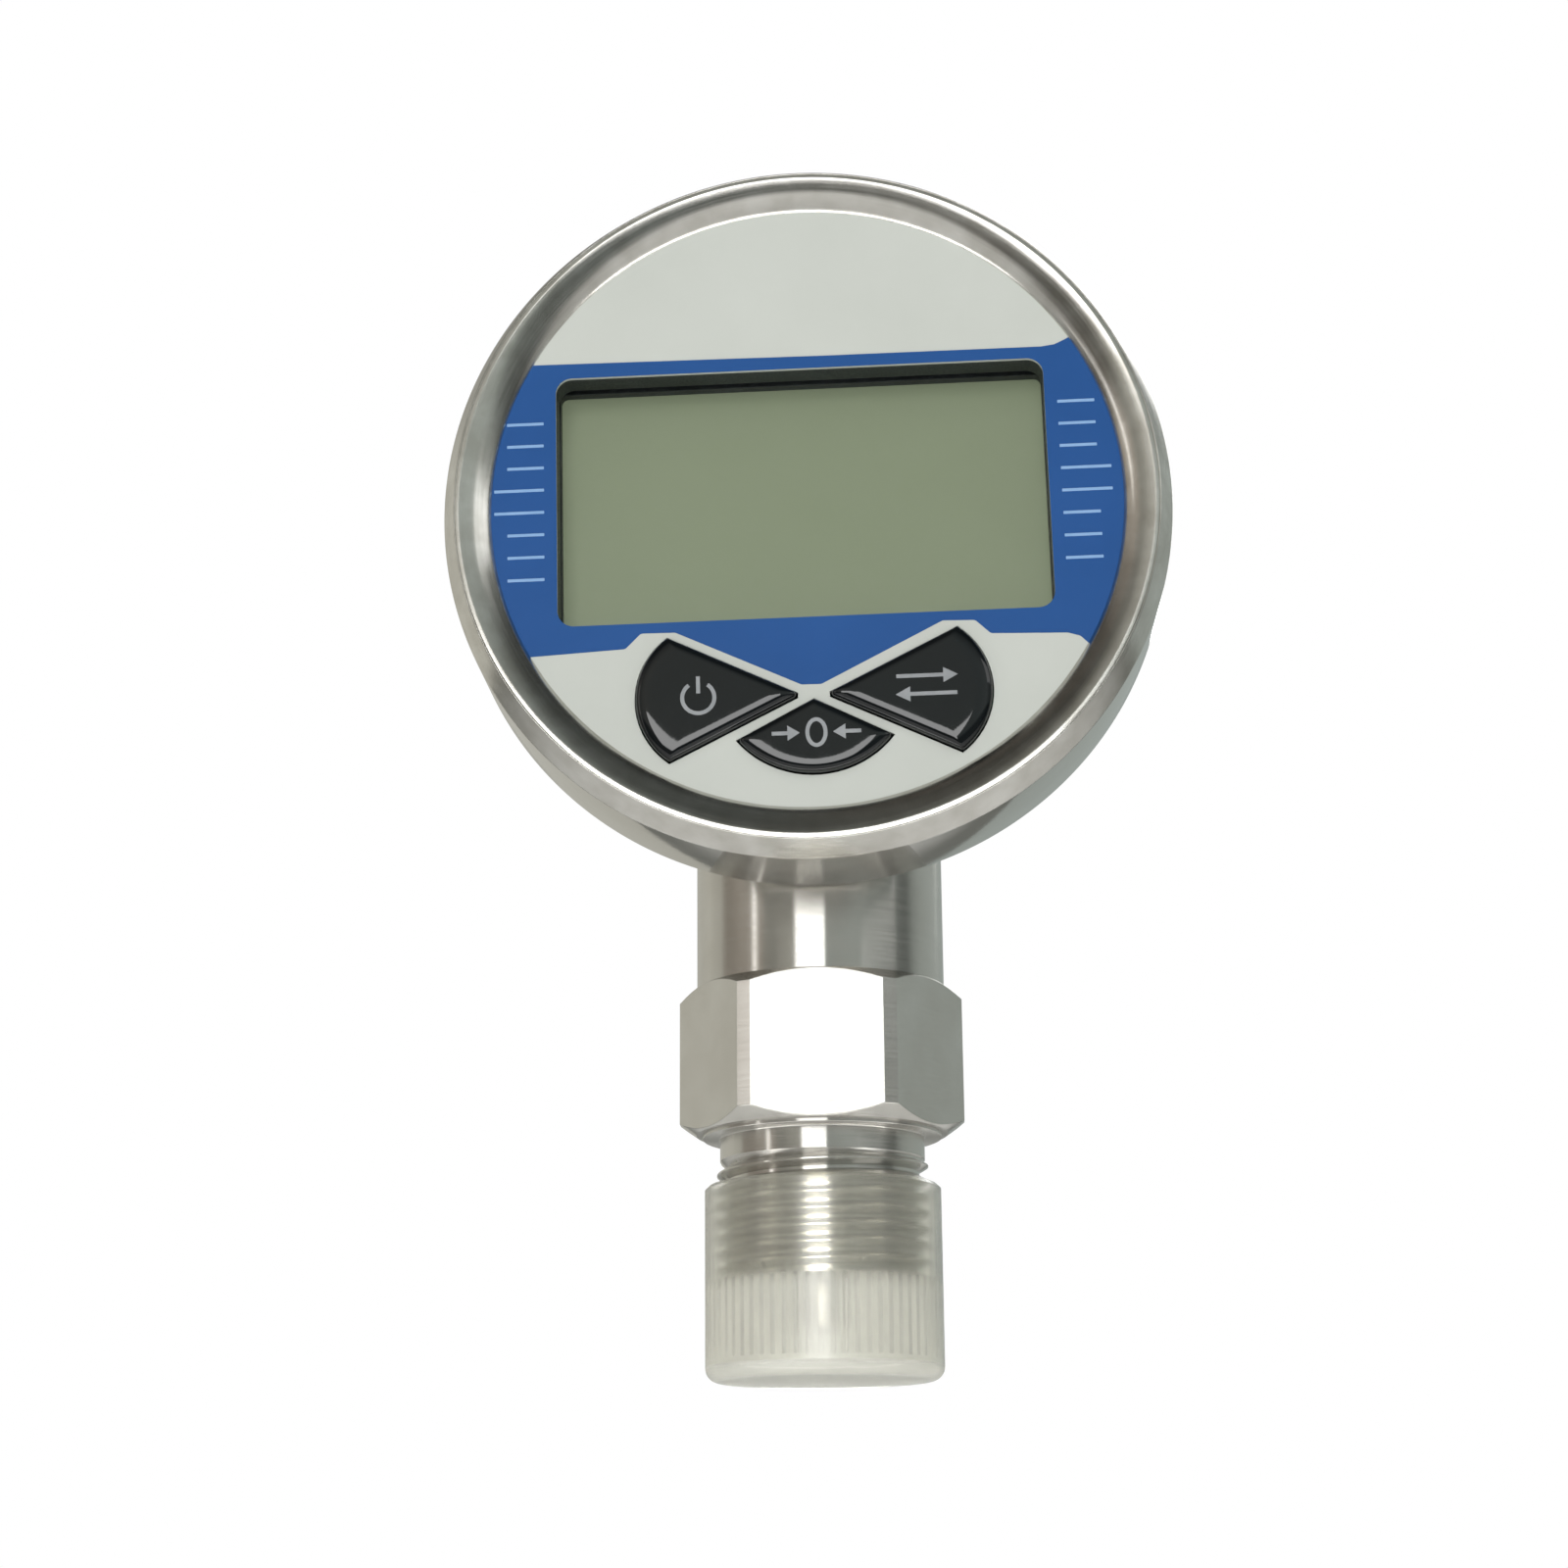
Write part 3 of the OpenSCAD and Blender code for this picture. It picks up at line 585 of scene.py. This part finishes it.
def hexagon_rows(angle):
    """Outline of the hexagon and its chamfers at that angle, from the port round to the neck."""
    lean = (angle + pi / 2 + pi / 6) % (pi / 3) - pi / 6
    flat = HEX_FLAT / cos(lean)
    r = (flat**-HEX_POWER + HEX_R**-HEX_POWER) ** (-1 / HEX_POWER)
    rise = (r - CHAMFER_R) * tan(radians(CHAMFER_SLOPE))
    return rounded(
        [
            (PORT_R, NECK_TOP, 0),
            (PORT_R, PILOT_END, 0),
            (PILOT_R, PILOT_END, 0.3),
            (PILOT_R, THREAD_END, 0),
            (RELIEF_R, THREAD_END, 0),
            (RELIEF_R, 0.0, 0.15),
            (WASHER_R, 0.0, 0.08),
            (WASHER_R, WASHER_H, 0.0),
            (CHAMFER_R, WASHER_H, 0.05),
            (r, WASHER_H + rise, 0.12),
            (r, HEX_H - rise, 0.12),
            (CHAMFER_R, HEX_H, 0.03),
            (NECK_R, HEX_H, 0.03),
            (NECK_R, NECK_TOP, 0),
        ]
    )


def stem_piece():
    offsets = SIDE_ANGLES + tuple(-value for value in reversed(SIDE_ANGLES[1:]))
    angles = [radians(60 * k + offset) for k in range(6) for offset in offsets] + [2 * pi - pi / 6]
    columns = []
    for angle in angles:
        outline = hexagon_rows(angle)
        # The thread goes in where the outline steps out at the thread's end
        cut = next(i for i, (r, z) in enumerate(outline) if (r, z) == (RELIEF_R, THREAD_END))
        outline = outline[:cut] + thread_rows(angle) + outline[cut + 1 :]
        columns.append([at_stem(r * cos(angle), r * sin(angle), z) for r, z in outline])
    points = [point for column in columns for point in column]
    points, faces = merged(points, band_faces(len(columns), len(columns[0])))
    made = piece("stem_body", points, faces, stem_steel, sharp=25.0)
    even = made.modifiers.new("even", "WEIGHTED_NORMAL")
    even.keep_sharp = True
    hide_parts("stem")


stem_piece()

# Print on the film: places on the dial, from its centre
PRINT_H = 0.02
FILM_EDGE_R = 29.05
WINDOW_CENTRE = (-0.35, 1.0)
WINDOW_SIZE = (45.2, 24.3)
WINDOW_ROUND = 1.5
# Heights at which the blue band reaches the film's edge, on the left and on the right
BAND_TOP_ENDS = (14.63, 15.1)
BAND_LOW_ENDS = (-13.92, -14.75)
BAND_TOP = [(2.01, 14.32), (22.2, 14.26), (23.4, 14.42), (24.35, 14.85)]
# Corners of the band's lower edge, each with its rounding
BAND_LOW = [
    (24.3, -14.0, 0.6),
    (23.2, -13.66, 0.6),
    (16.27, -13.42, 0.5),
    (14.91, -12.1, 0.5),
    (12.0, -12.02, 0.4),
    (0.86, -17.56, 0.5),
    (-0.94, -17.54, 0.5),
    (-12.24, -12.14, 0.4),
    (-15.36, -12.1, 0.5),
    (-16.8, -13.52, 0.5),
]
# Pale marks beside the window, of which the middle ones are longer
TICKS = 8
LONG_TICKS = (3, 4)
TICK_LENGTHS = (3.4, 4.6)
TICK_W = 0.28
TICK_ROUND = 0.05
TICK_TOP = 8.73
TICK_STEP = 2.18
TICK_START = 23.75


def print_piece(name, outlines, material, inner=()):
    """Ink on the film: each outline is filled, or the first one but for the inner outlines."""
    points, faces = [], []
    for outline in outlines:
        loops = [outline, *inner]
        base = len(points)
        flat = [point for loop in loops for point in loop]
        count = len(flat)
        points += [at_dial(x, y, DIAL_H + PRINT_H) for x, y in flat]
        points += [at_dial(x, y, DIAL_H) for x, y in flat]
        faces += [
            tuple(base + i for i in triangle)
            for triangle in tessellate_polygon([[Vector((x, y, 0)) for x, y in loop] for loop in loops])
        ]
        start = base
        for loop in loops:
            size = len(loop)
            for i in range(size):
                j = (i + 1) % size
                faces.append((start + i, start + j, start + count + j, start + count + i))
            start += size
    return piece(name, points, faces, material, sharp=20.0)


def on_circle(x, y, radius):
    """The point of the circle about the dial's centre at the height y, on the side of x."""
    return (sqrt(radius * radius - y * y) * (1 if x > 0 else -1), y)


def arc_between(first, last, radius, steps=24):
    """Points of the circle about the dial's centre between two of its points, ends left out."""
    start = atan2(first[1], first[0])
    turn = (atan2(last[1], last[0]) - start + pi) % (2 * pi) - pi
    angles = [start + turn * i / steps for i in range(1, steps)]
    return [(radius * cos(angle), radius * sin(angle)) for angle in angles]


def rectangle(centre, size, radius):
    x, y = centre
    w, h = size[0] / 2, size[1] / 2
    corners = ((x - w, y - h), (x + w, y - h), (x + w, y + h), (x - w, y + h))
    return rounded([(*corner, radius) for corner in corners], steps=6)


def blue_band():
    top_left, top_right = (on_circle(side, y, FILM_EDGE_R) for side, y in zip((-1, 1), BAND_TOP_ENDS))
    low_left, low_right = (on_circle(side, y, FILM_EDGE_R) for side, y in zip((-1, 1), BAND_LOW_ENDS))
    outline = [top_left, *BAND_TOP, top_right]
    outline += arc_between(top_right, low_right, FILM_EDGE_R)
    outline += rounded([(*low_right, 0.0), *BAND_LOW, (*low_left, 0.0)])
    outline += arc_between(low_left, top_left, FILM_EDGE_R)
    window = rectangle(WINDOW_CENTRE, WINDOW_SIZE, WINDOW_ROUND)
    print_piece("print_band", [outline], blue_ink, inner=[window])


def ticks():
    outlines = []
    for i in range(TICKS):
        length = TICK_LENGTHS[i in LONG_TICKS]
        for side in (-1, 1):
            x = WINDOW_CENTRE[0] + side * (TICK_START + length / 2)
            outlines.append(rectangle((x, TICK_TOP - TICK_STEP * i), (length, TICK_W), TICK_ROUND))
    made = print_piece("print_marks", outlines, light_ink)
    # The marks lie on the band
    for vertex in made.data.vertices:
        vertex.co.y -= PRINT_H * MM


blue_band()
ticks()

# Keys: places on the dial, from its centre
KEY_CENTRE = (0.15, -18.55)
KEY_EDGE = 0.25
KEY_DOME = 0.75
KEY_BACK = 21.5
KEY_ROUND = 0.3
# A key's shape along its own axis: the wedge's tip and half angle, the circle's radius and middle,
# and the top of the dome
SIDE_KEY = {"tip": 1.2, "half": 26.0, "radius": 7.25, "middle": 8.8, "crown": 9.6}
MIDDLE_KEY = {"tip": 0.45, "half": 62.7, "radius": 9.0, "middle": -1.65, "crown": 4.3}
# Rows of points on the dome, as shares of the way from its top to the rim
DOME_SHARES = (0.0, 0.3, 0.5, 0.62, 0.69, 0.74, 0.78, 0.82, 0.86, 0.9, 0.93, 0.955, 0.975, 0.99, 0.997, 1.0)
DOME_POWER = 12
DOME_ROOT = 2.2
# The arc of a key's outline keeps this far from its rounded corners
ARC_MARGIN = 0.7


def key_outline(shape, steps=36):
    """Outline of a key that points at the origin along +x: a wedge inside a circle."""
    half = radians(shape["half"])
    back = shape["tip"] - shape["middle"]
    reach = -back * cos(half) + sqrt(shape["radius"] ** 2 - (back * sin(half)) ** 2)
    corner = (shape["tip"] + reach * cos(half), reach * sin(half))
    open_angle = atan2(corner[1], corner[0] - shape["middle"])
    outline = [(shape["tip"], 0.0, KEY_ROUND), (corner[0], -corner[1], KEY_ROUND)]
    for i in range(1, steps):
        angle = -open_angle + 2 * open_angle * i / steps
        if abs(abs(angle) - open_angle) * shape["radius"] > ARC_MARGIN:
            x, y = shape["middle"] + shape["radius"] * cos(angle), shape["radius"] * sin(angle)
            outline.append((x, y, 0.0))
    outline.append((*corner, KEY_ROUND))
    return rounded(outline)


def dense(outline, step=0.35):
    """Outline with more points on its long sides."""
    points = []
    for i, start in enumerate(outline):
        end = outline[(i + 1) % len(outline)]
        length = (Vector(end) - Vector(start)).length
        parts = max(1, round(length / step))
        points += [tuple(Vector(start).lerp(Vector(end), k / parts)) for k in range(parts)]
    return points


def key_piece(name, shape, turn, node_name, body):
    """Domed key. Its crown is flatter than its rim, as a poured resin drop is."""
    c, s = cos(radians(turn)), sin(radians(turn))
    outline = dense(key_outline(shape))
    points = []
    for x, y in outline:
        column = []
        for share in DOME_SHARES:
            px = shape["crown"] + share * (x - shape["crown"])
            py = share * y
            rise = (1 - share**DOME_POWER) ** (1 / DOME_ROOT)
            column.append((px, py, DIAL_H + KEY_EDGE + KEY_DOME * rise))
        column += [(x, y, KEY_BACK), (shape["crown"], 0.0, KEY_BACK)]
        for px, py, h in column:
            points.append(at_dial(KEY_CENTRE[0] + c * px - s * py, KEY_CENTRE[1] + s * px + c * py, h))
    rows = len(DOME_SHARES) + 2
    points += points[:rows]
    points, faces = merged(points, band_faces(len(outline) + 1, rows))
    made = piece(name, points, faces, key_resin, body=body, sharp=60.0)
    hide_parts(node_name)
    return BVHTree.FromPolygons(points, faces)


# Signs of the keys
STROKE_W = 0.36
SIGN_LIFT = 0.012
# Height over the film from which a sign's points are dropped onto the dome
DROP_H = 5
ARROW_HEAD_W = 1.4
ARROW_TIP_W = 0.02
POWER_CENTRE = (-10.2, -18.7)
POWER_R = 1.45
POWER_ARC = (125, 415)
POWER_STROKE = (0.4, 2.0)
ZERO_CENTRE = (0.3, -22.35)
ZERO_R = 1.2
ZERO_SQUEEZE = 0.68
UNIT_CENTRE = (10.3, -18.3)
UNIT_LEVEL = 0.85
# Start of an arrow, back of its head and its tip, along the sign
ZERO_ARROW = (4.0, 2.6, 1.5)
UNIT_ARROW = (-2.7, 1.5, 2.8)


def sign_piece(name, strokes, dome, body):
    """Plain strokes on a key's dome. A stroke is a list of points, or of (x, y, width) points."""
    points, faces = [], []
    for stroke in strokes:
        path = [(*point, STROKE_W)[:3] for point in stroke]
        base = len(points)
        for i, (x, y, w) in enumerate(path):
            before = Vector(path[max(i - 1, 0)][:2])
            after = Vector(path[min(i + 1, len(path) - 1)][:2])
            across = (after - before).normalized().orthogonal() * w / 2
            for side in (-1, 1):
                start = at_dial(x + side * across.x, y + side * across.y, DIAL_H + DROP_H)
                hit = dome.ray_cast(start, Vector((0, 1, 0)))[0]
                points.append(hit - Vector((0, SIGN_LIFT * MM, 0)))
        for i in range(len(path) - 1):
            a = base + 2 * i
            faces.append((a, a + 1, a + 3, a + 2))
    piece(name, points, faces, sign_ink, body=body)


def line(start, end, steps=6):
    return [tuple(Vector(start).lerp(Vector(end), i / steps)) for i in range(steps + 1)]


def arrow_head(tip, back, steps=4):
    """Filled head whose tip and the middle of whose back are given."""
    widths = [ARROW_HEAD_W * (1 - i / steps) + ARROW_TIP_W for i in range(steps + 1)]
    return [(*point, width) for point, width in zip(line(back, tip, steps), widths)]


def circle_arc(centre, radius, start, end, squeeze=1.0, steps=40):
    angles = [radians(start + (end - start) * i / steps) for i in range(steps + 1)]
    return [(centre[0] + squeeze * radius * cos(a), centre[1] + radius * sin(a)) for a in angles]


def arrow(centre, xs, y):
    """Shaft and head of an arrow whose start, back of the head and tip lie at xs."""
    start, back, tip = (centre + Vector((x, y)) for x in xs)
    return [line(start, back), arrow_head(tip, back)]


def power_sign():
    """Open circle with a stroke in its gap."""
    centre = Vector(POWER_CENTRE)
    low, high = (centre + Vector((0, y)) for y in POWER_STROKE)
    return [circle_arc(centre, POWER_R, *POWER_ARC), line(low, high)]


def zero_sign():
    """Arrows that point at a nought."""
    centre = Vector(ZERO_CENTRE)
    strokes = [circle_arc(centre, ZERO_R, 0, 360, squeeze=ZERO_SQUEEZE)]
    for side in (-1, 1):
        strokes += arrow(centre, [side * x for x in ZERO_ARROW], 0)
    return strokes


def unit_sign():
    """Two opposite arrows."""
    strokes = []
    for side in (-1, 1):
        strokes += arrow(Vector(UNIT_CENTRE), [side * x for x in UNIT_ARROW], side * UNIT_LEVEL)
    return strokes


def keys():
    left = key_piece("key_left_cap", SIDE_KEY, 180, "power_key", "key_left")
    middle = key_piece("key_middle_cap", MIDDLE_KEY, -90, "zero_key", "key_middle")
    right = key_piece("key_right_cap", SIDE_KEY, 0, "unit_key", "key_right")
    sign_piece("sign_left", power_sign(), left, "key_left")
    sign_piece("sign_middle", zero_sign(), middle, "key_middle")
    sign_piece("sign_right", unit_sign(), right, "key_right")


keys()

# Rear screws: places seen from the case's axis, and sizes of a head
SCREW_CIRCLE_R = 23.79
SCREW_ANGLES = (90, 210, 330)
SCREW_BACK = -15.8
HEAD_R = 1.9
HEAD_T = 1.3
HEAD_ROUND = 0.7
RECESS_SIZE = (2.3, 1.6, 0.5)
RECESS_ANGLES = (20, 110)


def screw_head(name, x, y):
    """Pan head without its recess."""
    corners = [
        (0.0, SCREW_BACK, 0),
        (HEAD_R, SCREW_BACK, HEAD_ROUND),
        (HEAD_R, SCREW_BACK + HEAD_T, 0),
        (0.0, SCREW_BACK + HEAD_T, 0),
    ]

    def place(px, py, h):
        return at_case(x + px, y + py, h)

    return lathe(name, rounded(corners, steps=6), place, screw_steel, steps=48)


def recess_blade(x, y, angle):
    """Block that cuts one slot of the cross recess."""
    bpy.ops.mesh.primitive_cube_add(size=1)
    blade = bpy.context.object
    blade.scale = Vector(RECESS_SIZE) * MM
    blade.location = at_case(x, y, SCREW_BACK)
    blade.rotation_euler = (0, radians(angle), 0)
    return blade


def cut_recess(head, blades):
    """Takes the blades out of the head, and the blades out of the scene."""
    bpy.context.view_layer.update()
    for blade in blades:
        cut = head.modifiers.new("recess", "BOOLEAN")
        cut.operation = "DIFFERENCE"
        cut.object = blade
    shaped = head.evaluated_get(bpy.context.evaluated_depsgraph_get())
    mesh = bpy.data.meshes.new_from_object(shaped)
    head.modifiers.clear()
    head.data = mesh
    mesh.set_sharp_from_angle(angle=radians(32))
    for blade in blades:
        bpy.data.objects.remove(blade)


def rear_screws():
    for k, angle in enumerate(SCREW_ANGLES):
        x, y = SCREW_CIRCLE_R * cos(radians(angle)), SCREW_CIRCLE_R * sin(radians(angle))
        head = screw_head(f"rear_screw_{k + 1}", x, y)
        cut_recess(head, [recess_blade(x, y, turn) for turn in RECESS_ANGLES])
    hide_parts("rear_screws")


rear_screws()

# Finishes of the CAD nodes that are shown as they are
NODE_FINISHES = {
    "thread_cap": cap_plastic,
    "case_shell": case_steel,
    "bezel_gasket": rubber,
    "overlay": film,
    "face_plate": dark_plastic,
    "window_pane": clear_pane,
    "lcd_frame": dark_plastic,
    "lcd_glass": display_glass_painted_glow,
    "lcd_contact_strips": contact_rubber,
    "circuit_board": solder_mask,
    "controller_chip": chip_epoxy,
    "key_switches": dark_plastic,
    "board_screws": screw_steel,
    "battery_tray": dark_plastic,
    "battery_cells": cell_sleeve,
    "battery_contacts": plated,
    "pressure_sensor": sensor_metal,
    "sensor_oring": rubber,
    "sensor_nut": sensor_metal,
    "sensor_lead": amber_film,
    "rear_cover": cover_steel,
    "rear_gasket": rubber,
    "rear_nuts": plated,
}


def finish_nodes():
    for name, material in NODE_FINISHES.items():
        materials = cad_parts[name].data.materials
        materials.clear()
        materials.append(material)


finish_nodes()

# Camera: its place, its turns in degrees and its lens
CAMERA_PLACE = (8.954, -274.521, -40.68)
CAMERA_YAW = 2.562
CAMERA_PITCH = 15.379
CAMERA_ROLL = -0.505
CAMERA_LENS = 66.97


def add_camera():
    yaw, pitch, roll = radians(CAMERA_YAW), radians(CAMERA_PITCH), radians(CAMERA_ROLL)
    forward = Vector((-sin(yaw) * cos(pitch), cos(yaw) * cos(pitch), sin(pitch)))
    level = forward.cross(Vector((0, 0, 1))).normalized()
    upright = level.cross(forward)
    right = cos(roll) * level + sin(roll) * upright
    up = cos(roll) * upright - sin(roll) * level
    data = bpy.data.cameras.new("camera")
    data.lens = CAMERA_LENS
    data.sensor_width = 36.0
    data.clip_start = 0.01
    camera = bpy.data.objects.new("camera", data)
    bpy.context.collection.objects.link(camera)
    turn = Matrix((right, up, -forward)).transposed().to_4x4()
    camera.matrix_world = Matrix.Translation(Vector(CAMERA_PLACE) * MM) @ turn
    bpy.context.scene.camera = camera


# Lamps: name, centre, size, the point that it faces, radiance, and whether metal reflects it
LAMPS = (
    ("front_lamp", (-280, -2000, 295), (1040, 490), (-280, 0, 295), 4.5, True),
    ("low_lamp", (0, -50, -125), (560, 28), (0, -50, 0), 5.0, True),
    ("left_lamp", (-437, -242, 100), (32, 300), (0, 0, 30), 1.6, True),
    ("right_lamp", (395, -228, 258), (320, 120), (0, 0, 55), 1.1, True),
    ("top_lamp", (60, -420, 380), (420, 300), (0, 0, 50), 1.4, False),
    ("floor_lamp", (0, 320, 420), (300, 200), (0, -250, -130), 10.0, False),
    ("back_lamp", (160, 620, 420), (460, 340), (0, 0, 40), 2.6, True),
    ("fill_lamp", (-60, -900, 180), (400, 400), (0, 0, 50), 8.8, False),
)


def add_lamp(name, centre, size, target, radiance, reflected):
    """Soft rectangular lamp at centre that faces target."""
    data = bpy.data.lights.new(name, "AREA")
    data.shape = "RECTANGLE"
    data.size, data.size_y = size[0] * MM, size[1] * MM
    data.energy = radiance * pi * data.size * data.size_y
    lamp = bpy.data.objects.new(name, data)
    lamp.location = Vector(centre) * MM
    aim = (Vector(target) - Vector(centre)).normalized()
    lamp.rotation_euler = aim.to_track_quat("-Z", "Y").to_euler()
    lamp.visible_camera = False
    lamp.visible_glossy = reflected
    bpy.context.collection.objects.link(lamp)


# Stops of the room round the object: azimuth in degrees, from the front to the right, brightness, tint
WARM = (1.0, 0.91, 0.79)
PLAIN = (1.0, 0.99, 0.89)
COOL = (0.91, 1.0, 0.95)
ROOM = (
    (-180, 0.45, PLAIN),
    (-125, 0.65, PLAIN),
    (-102, 0.56, PLAIN),
    (-96, 0.32, WARM),
    (-80, 0.46, WARM),
    (-57, 0.5, WARM),
    (-50, 0.36, PLAIN),
    (-42, 0.36, PLAIN),
    (-36, 0.46, PLAIN),
    (-22, 0.54, PLAIN),
    (10, 0.47, COOL),
    (34, 0.57, COOL),
    (52, 0.4, COOL),
    (74, 0.26, COOL),
    (90, 0.16, COOL),
    (96, 0.3, COOL),
    (106, 0.42, COOL),
    (125, 0.46, COOL),
    (180, 0.4, COOL),
)


# Overhead and towards the floor the room is darker, and towards the floor most in front. The heights
# and depths are those of a direction of length one
OVERHEAD_Z = (0.4, 0.7)
OVERHEAD_LEVELS = (1.0, 0.18)
FLOOR_Z = (0.06, 0.13)
FRONT_Y = (-0.1, 0.1)
FRONT_LEVELS = (0.3, 1.0)


def room_colour(tree, x, y):
    """Colour of the room by the azimuth of a direction."""
    azimuth = number_math(tree, "ARCTAN2", x, number_math(tree, "MULTIPLY", y, -1.0))
    ramp = node(tree, "ShaderNodeValToRGB", {0: remap(tree, azimuth, (-pi, pi))})
    stops = ramp.color_ramp.elements
    for degrees, level, tint in ROOM:
        place = degrees / 360 + 0.5
        stop = stops[0] if degrees == -180 else stops[-1] if degrees == 180 else stops.new(place)
        stop.color = (*(level * value for value in tint), 1.0)
    return ramp.outputs[0]


def seen_white(tree):
    """One for camera rays and for rays that reach the backdrop straight through clear plastic."""
    path = node(tree, "ShaderNodeLightPath").outputs
    bounces = number_math(tree, "ADD", path["Glossy Depth"], path["Diffuse Depth"])
    direct = number_math(tree, "LESS_THAN", bounces, 0.5)
    through = number_math(tree, "MULTIPLY", path["Is Transmission Ray"], direct)
    return number_math(tree, "MAXIMUM", path["Is Camera Ray"], through)


def add_world():
    """Backdrop that is white to the camera and a soft grey room to the object."""
    world = bpy.data.worlds.new("world")
    bpy.context.scene.world = world
    world.use_nodes = True
    tree = world.node_tree
    tree.nodes.clear()
    direction = node(tree, "ShaderNodeTexCoord").outputs["Generated"]
    x, y, z = node(tree, "ShaderNodeSeparateXYZ", {0: direction}).outputs
    overhead = remap(tree, z, OVERHEAD_Z, OVERHEAD_LEVELS)
    below = remap(tree, z, FLOOR_Z, (remap(tree, y, FRONT_Y, FRONT_LEVELS), 1.0))
    level = number_math(tree, "MULTIPLY", overhead, below)
    colour = room_colour(tree, x, y)
    room = node(tree, "ShaderNodeBackground", {"Color": colour, "Strength": level}).outputs[0]
    white = node(tree, "ShaderNodeBackground", {"Color": WHITE, "Strength": 1.0}).outputs[0]
    mixed = node(tree, "ShaderNodeMixShader", {0: seen_white(tree), 1: room, 2: white}).outputs[0]
    node(tree, "ShaderNodeOutputWorld", {"Surface": mixed})


# Floor: its height, which is under the lower edge of the camera's view, and its reach
FLOOR_H = -130
FLOOR_HALF = 1500
FLOOR_FRONT = 480


def add_floor():
    """Pale floor below the object."""
    xs, ys = (-FLOOR_HALF, FLOOR_HALF), (-FLOOR_FRONT, FLOOR_HALF)
    corners = [(xs[0], ys[0]), (xs[1], ys[0]), (xs[1], ys[1]), (xs[0], ys[1])]
    mesh = bpy.data.meshes.new("floor")
    mesh.from_pydata([Vector((x, y, FLOOR_H)) * MM for x, y in corners], [], [(0, 1, 2, 3)])
    pale = surface(
        "floor", (0.8, 0.8, 0.79), (0.77, 0.77, 0.76), (0.6, 0.8), speckle(300.0), 0.02, blotch=6.0
    )
    white_to_camera(pale, share=0.8)
    mesh.materials.append(pale)
    floor = bpy.data.objects.new("floor", mesh)
    bpy.context.collection.objects.link(floor)


add_camera()
for entry in LAMPS:
    add_lamp(*entry)
add_world()
add_floor()

bpy.context.scene.view_settings.view_transform = "Standard"
